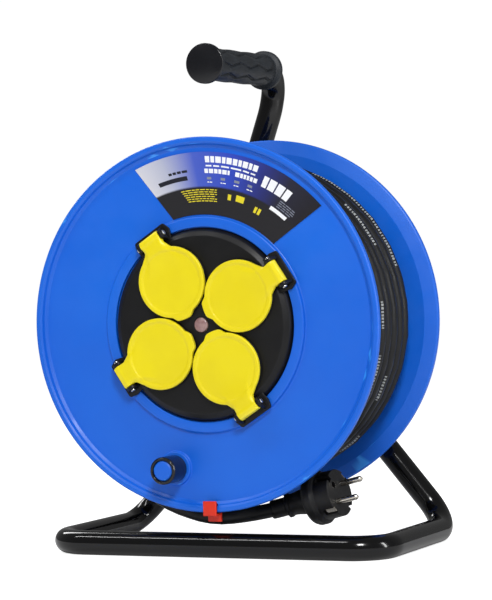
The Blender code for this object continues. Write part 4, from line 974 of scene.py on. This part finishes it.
def make_knob():
    sleeve = fillet([(8.3, -20.6, 0.4), (8.9, -21.4, 0.5), (10.2, -21.4, 0.9),
                     (11.0, -20.0, 0.8), (11.0, 1.2, 0.7), (10.6, 2.2, 0.3), (6.3, 2.2, 0),
                     (6.3, -16.7, 0), (8.3, -16.7, 0)])
    finish_piece("crank_sleeve", lathe(sleeve, 96, KNOB), "black_plastic", "knob",
                 ["knob_sleeve"], look="gloss")
    post = fillet([(0, -21.0, 0), (6.9, -21.0, 0.7), (7.9, -20.2, 0.5), (7.9, -17.1, 0),
                   (6.0, -17.1, 0), (6.0, 7.7, 0), (0, 7.7, 0)])
    finish_piece("crank_post", lathe(post, 72, KNOB), "blue_plastic", "drum", ["knob_post"])


LABEL_OUTER, LABEL_INNER = 138.0, 88.0
LABEL_Y, PRINT_Y = 4.35, 4.27


def label_point(u, v):
    """Label coordinates, 0 to 1 from the left and from the lower edge, as (x, z)."""
    outer = Vector(polar(LABEL_OUTER, 114.8 + (41.8 - 114.8) * u))
    inner = Vector(polar(LABEL_INNER, 106.5 + (45.8 - 106.5) * u))
    return inner.lerp(outer, v)


def label_vertex(bm, u, v, y):
    x, z = label_point(u, v)
    return bm.verts.new((x, y, z))


def make_label():
    bm = bmesh.new()
    layer = bm.loops.layers.uv.new("UVMap")
    columns, rows = 96, 24
    grid = [[label_vertex(bm, i / columns, j / rows, LABEL_Y) for j in range(rows + 1)]
            for i in range(columns + 1)]
    for i in range(columns):
        for j in range(rows):
            face = bm.faces.new((grid[i][j], grid[i + 1][j], grid[i + 1][j + 1],
                                 grid[i][j + 1]))
            corners = ((i, j), (i + 1, j), (i + 1, j + 1), (i, j + 1))
            for loop, (a, b) in zip(face.loops, corners):
                loop[layer].uv = (a / columns, b / rows)
    made = bmesh.ops.extrude_face_region(bm, geom=bm.faces[:])
    back = [v for v in made["geom"] if isinstance(v, bmesh.types.BMVert)]
    bmesh.ops.translate(bm, vec=(0, 0.55, 0), verts=back)
    finish_piece("label_foil", bm, "label_print", "drum", ["label_plate"])


def make_print():
    """Bars and plain shapes that stand in for the label's printing."""
    random.seed(7)
    sets = {ink: bmesh.new() for ink in INKS}

    def bar(bm, u0, u1, v0, v1):
        steps = max(1, int((u1 - u0) * 60))
        low, high = [], []
        for i in range(steps + 1):
            u = u0 + (u1 - u0) * i / steps
            low.append(label_vertex(bm, u, v0, PRINT_Y))
            high.append(label_vertex(bm, u, v1, PRINT_Y))
        skin(bm, [low, high], closed=False)

    def words(ink, u, u1, v0, v1, word, gap):
        """A row of bars about as wide as word, with gaps between them."""
        while u < u1 - word * 0.4:
            end = min(u1, u + word * random.uniform(0.6, 1.3))
            bar(sets["print_" + ink], u, end, v0, v1)
            u = end + gap

    words("white", 0.36, 0.66, 0.83, 0.93, 0.028, 0.006)
    words("white", 0.36, 0.64, 0.765, 0.79, 0.05, 0.01)
    words("white", 0.35, 0.50, 0.66, 0.73, 0.02, 0.005)
    words("white", 0.53, 0.66, 0.66, 0.73, 0.02, 0.005)
    words("white", 0.69, 0.86, 0.65, 0.83, 0.04, 0.008)
    words("dark", 0.06, 0.24, 0.565, 0.635, 0.2, 0.01)
    words("dark", 0.14, 0.25, 0.69, 0.73, 0.03, 0.006)
    for k in range(4):
        u = 0.085 * k
        words("grey", 0.36 + u, 0.40 + u, 0.56, 0.60, 0.03, 0.01)
        words("white", 0.36 + u, 0.40 + u, 0.51, 0.525, 0.015, 0.004)
    for k in range(6):
        v = 0.39 - 0.036 * k
        words("yellow", 0.17 + 0.005 * k, 0.42, v, v + 0.014, 0.03, 0.006)
    words("yellow", 0.50, 0.53, 0.27, 0.36, 0.02, 0.01)
    words("yellow", 0.56, 0.62, 0.28, 0.38, 0.06, 0.01)
    words("yellow", 0.71, 0.76, 0.22, 0.32, 0.025, 0.01)
    words("white", 0.80, 0.93, 0.40, 0.46, 0.15, 0.01)
    for k in range(4):
        v = 0.60 - 0.035 * k
        words("grey", 0.83, 0.95, v, v + 0.013, 0.03, 0.006)
    for ink, bm in sets.items():
        finish_piece(f"label_{ink}", bm, "label_print", "drum", look=ink)


def make_clip():
    outline = [(-2.6, -140.7, 0.7), (-0.5, -140.7, 0.4), (-0.5, -150.3, 0.3),
               (8.3, -150.3, 0.4), (8.3, -146.4, 0.4), (27.4, -146.4, 1.4),
               (27.4, -156.0, 0.8), (25.3, -156.0, 0.6), (25.3, -148.3, 1.0),
               (9.9, -148.3, 0.5), (9.9, -150.9, 0.3), (9.4, -151.8, 0.3),
               (9.4, -158.0, 0.7), (6.6, -158.0, 0.7), (6.6, -152.6, 0.5),
               (-2.6, -152.6, 0.8)]
    bm = bmesh.new()
    prism([(y, z) for y, z in fillet(outline)], -2.8, 8.6, 0.5, bm)
    swap = Matrix(((0, 1, 0, 0), (1, 0, 0, 0), (0, 0, 1, 0), (0, 0, 0, 1)))
    bmesh.ops.transform(bm, matrix=swap, verts=bm.verts)
    finish_piece("rim_clip", bm, "red_plastic", "drum", ["cable_clip"])


# ---- cable and plug ----

CABLE_D = 12.0
LEAD_ROUTE = (
    (-117.4, 22.0, -73.3),
    (-98.3, 19.5, -98.3),
    (-71.8, 17.0, -124.3),
    (-55.0, 15.8, -136.3),
    (-38.2, 15.2, -145.2),
    (-24.0, 15.0, -150.2),
    (-10.0, 15.3, -153.9),
    (3.0, 16.9, -155.3),
    (14.3, 21.3, -154.9),
    (26.0, 29.5, -153.6),
    (36.0, 37.0, -151.9),
    (46.0, 42.4, -149.6),
    (58.2, 44.6, -146.3),
    (69.8, 43.2, -143.4),
)
BOOT_LENGTH = 33.0
OVERLAP = 8  # points of the lead that the cable runs on inside its bend relief


def winding_path():
    """The wound cable, layer by layer, from the core's outlet to the start of the lead."""
    front, rear = 14.6, 128.4
    radii = (90.6, 102.4, 114.2, 125.9)
    turns, outlet_angle = 8.85, 200.0
    points = []
    degrees = outlet_angle
    y = front
    for number, radius in enumerate(radii):
        target = rear if number % 2 == 0 else front
        steps = round(turns * 32)
        start_radius = radii[number - 1] if number else radius
        for k in range(steps):
            t = k / steps
            r = radius - (radius - start_radius) * (1 - smoothstep(0, 0.06, t))
            a = math.radians(degrees + 360 * turns * t)
            wander = 0.9 * math.sin(2.3 * a + number) * smoothstep(0, 0.1, t) * (
                1 - smoothstep(0.9, 1, t))
            points.append(Vector((r * math.cos(a), y + (target - y) * t + wander,
                                  r * math.sin(a))))
        degrees += 360 * turns
        y = target
    return points, degrees % 360


def cable_path():
    wound, degrees = winding_path()
    lead = catmull(LEAD_ROUTE)
    target = math.degrees(math.atan2(lead[0].z, lead[0].x)) % 360
    gap = (target - degrees) % 360
    if gap < 70:
        gap += 360
    last = wound[-1]
    start_r = math.hypot(last.x, last.z)
    end_r = math.hypot(lead[0].x, lead[0].z)
    joint = []
    steps = round(gap / 10)
    for k in range(1, steps):
        t = k / steps
        a = math.radians(degrees + gap * t)
        r = start_r + (end_r - start_r) * smoothstep(0.45, 1.0, t)
        y = last.y + (lead[0].y - last.y) * smoothstep(0, 1, t)
        joint.append(Vector((r * math.cos(a), y, r * math.sin(a))))
    return wound + joint, lead


def boot_split(lead):
    """Index where the cable enters its bend relief."""
    length = 0.0
    for i in range(len(lead) - 1, 0, -1):
        length += (lead[i] - lead[i - 1]).length
        if length >= BOOT_LENGTH:
            return i - 1
    return 0


def make_cable():
    wound, lead = cable_path()
    split = boot_split(lead)
    line = even(wound + lead[:split + OVERLAP], 9.0)
    sides = 20
    bm = bmesh.new()
    layer = bm.loops.layers.uv.new("UVMap")
    rings, along, gone = [], [], 0.0
    for i, (point, (t, _, _)) in enumerate(zip(line, path_frames(line))):
        if i:
            gone += (point - line[i - 1]).length
        along.append(gone)
        outwards = Vector((point.x, 0, point.z)).normalized()
        out = (outwards - outwards.project(t)).normalized()
        side = t.cross(out)
        turn = 0.25 + 0.9 * math.sin(gone / 260.0)
        angles = [2 * math.pi * j / sides + turn for j in range(sides)]
        rings.append([bm.verts.new(point + (out * math.cos(a) + side * math.sin(a))
                                   * CABLE_D / 2) for a in angles])
    for i in range(len(rings) - 1):
        for j in range(sides):
            k = (j + 1) % sides
            face = bm.faces.new((rings[i][j], rings[i][k], rings[i + 1][k], rings[i + 1][j]))
            for loop, (a, v) in zip(face.loops, ((i, j), (i, j + 1), (i + 1, j + 1),
                                                 (i + 1, j))):
                loop[layer].uv = (along[a], (v / sides + 0.5) % 1.0 if v < sides else 0.5)
    bm.faces.new(rings[0][::-1])
    bm.faces.new(rings[-1])
    cable = finish_piece("mains_cable", bm, "cable_rubber", "drum",
                         ["cable_coil", "cable_lead"], look="cable")
    boot = make_boot(lead, split)
    plug = make_plug()


def make_boot(lead, split):
    path = even(lead[split:], 0.8)
    count = len(path) - 1
    length = sum((b - a).length for a, b in zip(path, path[1:]))

    def radius(i, angle):
        s = length * i / count
        sleeve = 6.9 + 0.7 * smoothstep(0, 1.2, s)
        ring = 2.2 * smoothstep(12.5, 13.6, s)
        cone = -0.9 * smoothstep(16.4, 17.4, s) + 2.0 * smoothstep(17.5, length, s)
        return sleeve + ring + cone

    bm = sweep(path, 48, radius)
    return finish_piece("bend_relief", bm, "cable_rubber", "drum", ["plug_boot"], sharp=30)


def plug_matrix():
    rise, forward = math.radians(14.0), 0.12
    across = math.sqrt(1 - forward ** 2)
    axis = Vector((across * math.cos(rise), -forward, across * math.sin(rise)))
    up = (Vector((0, 0, 1)) - axis * axis.z).normalized()
    side = up.cross(axis)
    turn = math.radians(45.0)
    pins = up * math.cos(turn) + side * math.sin(turn)
    matrix = Matrix((-pins.cross(axis), axis, pins)).transposed().to_4x4()
    matrix.translation = Vector((77.5, 42.2, -141.5))
    return matrix


def make_plug():
    matrix = plug_matrix()
    profile = fillet([(0, -7.4, 0), (11.0, -7.4, 1.5), (14.5, -5.0, 2), (20.8, -2.6, 1.2),
                      (22.0, 0.0, 1.0), (22.0, 5.0, 1.2), (20.4, 7.0, 1.0), (19.2, 8.0, 1.0),
                      (19.0, 20.3, 0), (19.0, 21.5, 0.9), (0, 21.5, 0)])
    body = finish_piece("plug_shell", lathe(profile, 96), "cable_rubber", "drum",
                        ["plug_body"], matrix=matrix)
    for side in (-1, 1):
        low, high = sorted((side * 16.4, side * 24))
        slot = rounded_box((low, 11.0, -3.3), (high, 30, 3.3), 0.3)
        cut_away(body, slot, swap_xz(matrix))
        notch = rounded_box((14.6, 9.5, -2.2), (24, 30, 2.2), 0.3)
        turn = Matrix.Rotation(math.radians(90 + 90 * side), 4, "Y")
        cut_away(body, notch, matrix @ turn)
    earth = lathe([(0, 8), (2.6, 8), (2.6, 25), (0, 25)], 32, (9.8, 0))
    cut_away(body, earth, matrix)
    pieces = [body]
    for number, side in ((1, -1), (2, 1)):
        pin = fillet([(0, 12.5, 0), (2.4, 12.5, 0), (2.4, 38.8, 0.8), (1.2, 40.5, 0.6),
                      (0, 40.5, 0)])
        pieces.append(finish_piece(f"plug_pin_fine_{number}", lathe(pin, 40, (0, side * 9.5)),
                                   "nickel", "drum", [f"plug_pin_{number}"], matrix=matrix))
        strip = fillet([(side * 16.2, -2.6, 0.6), (side * 17.6, -2.6, 0.6),
                        (side * 17.6, 2.6, 0.6), (side * 16.2, 2.6, 0.6)])
        pieces.append(finish_piece(f"plug_contact_{number}", prism(strip, 12.8, 21.2, 0.3),
                                   "nickel", "drum", [f"plug_earth_clip_{number}"],
                                   matrix=swap_xz(matrix)))
    return pieces


def swap_xz(matrix):
    """Turns a shape drawn on X to the plug's pin line."""
    return matrix @ Matrix.Rotation(math.radians(-90), 4, "Y")


# ---- CAD nodes that stay as they are ----

def dress_nodes():
    slots = {s["node"]: s["material_slot"] for s in frame["record"]["subparts"]}
    for name, obj in frame["nodes"].items():
        for material_slot in obj.material_slots:
            material_slot.material = LOOKS[SLOT_LOOKS[slots[name]]]


def main():
    for make in (make_camera, make_looks, dress_nodes, make_cable, make_frame_tube, make_grip,
                 make_hub, make_front_half, make_rear_half, make_socket_plate, make_wells,
                 make_lids, make_button, make_knob, make_label, make_print, make_clip,
                 make_studio):
        make()


main()
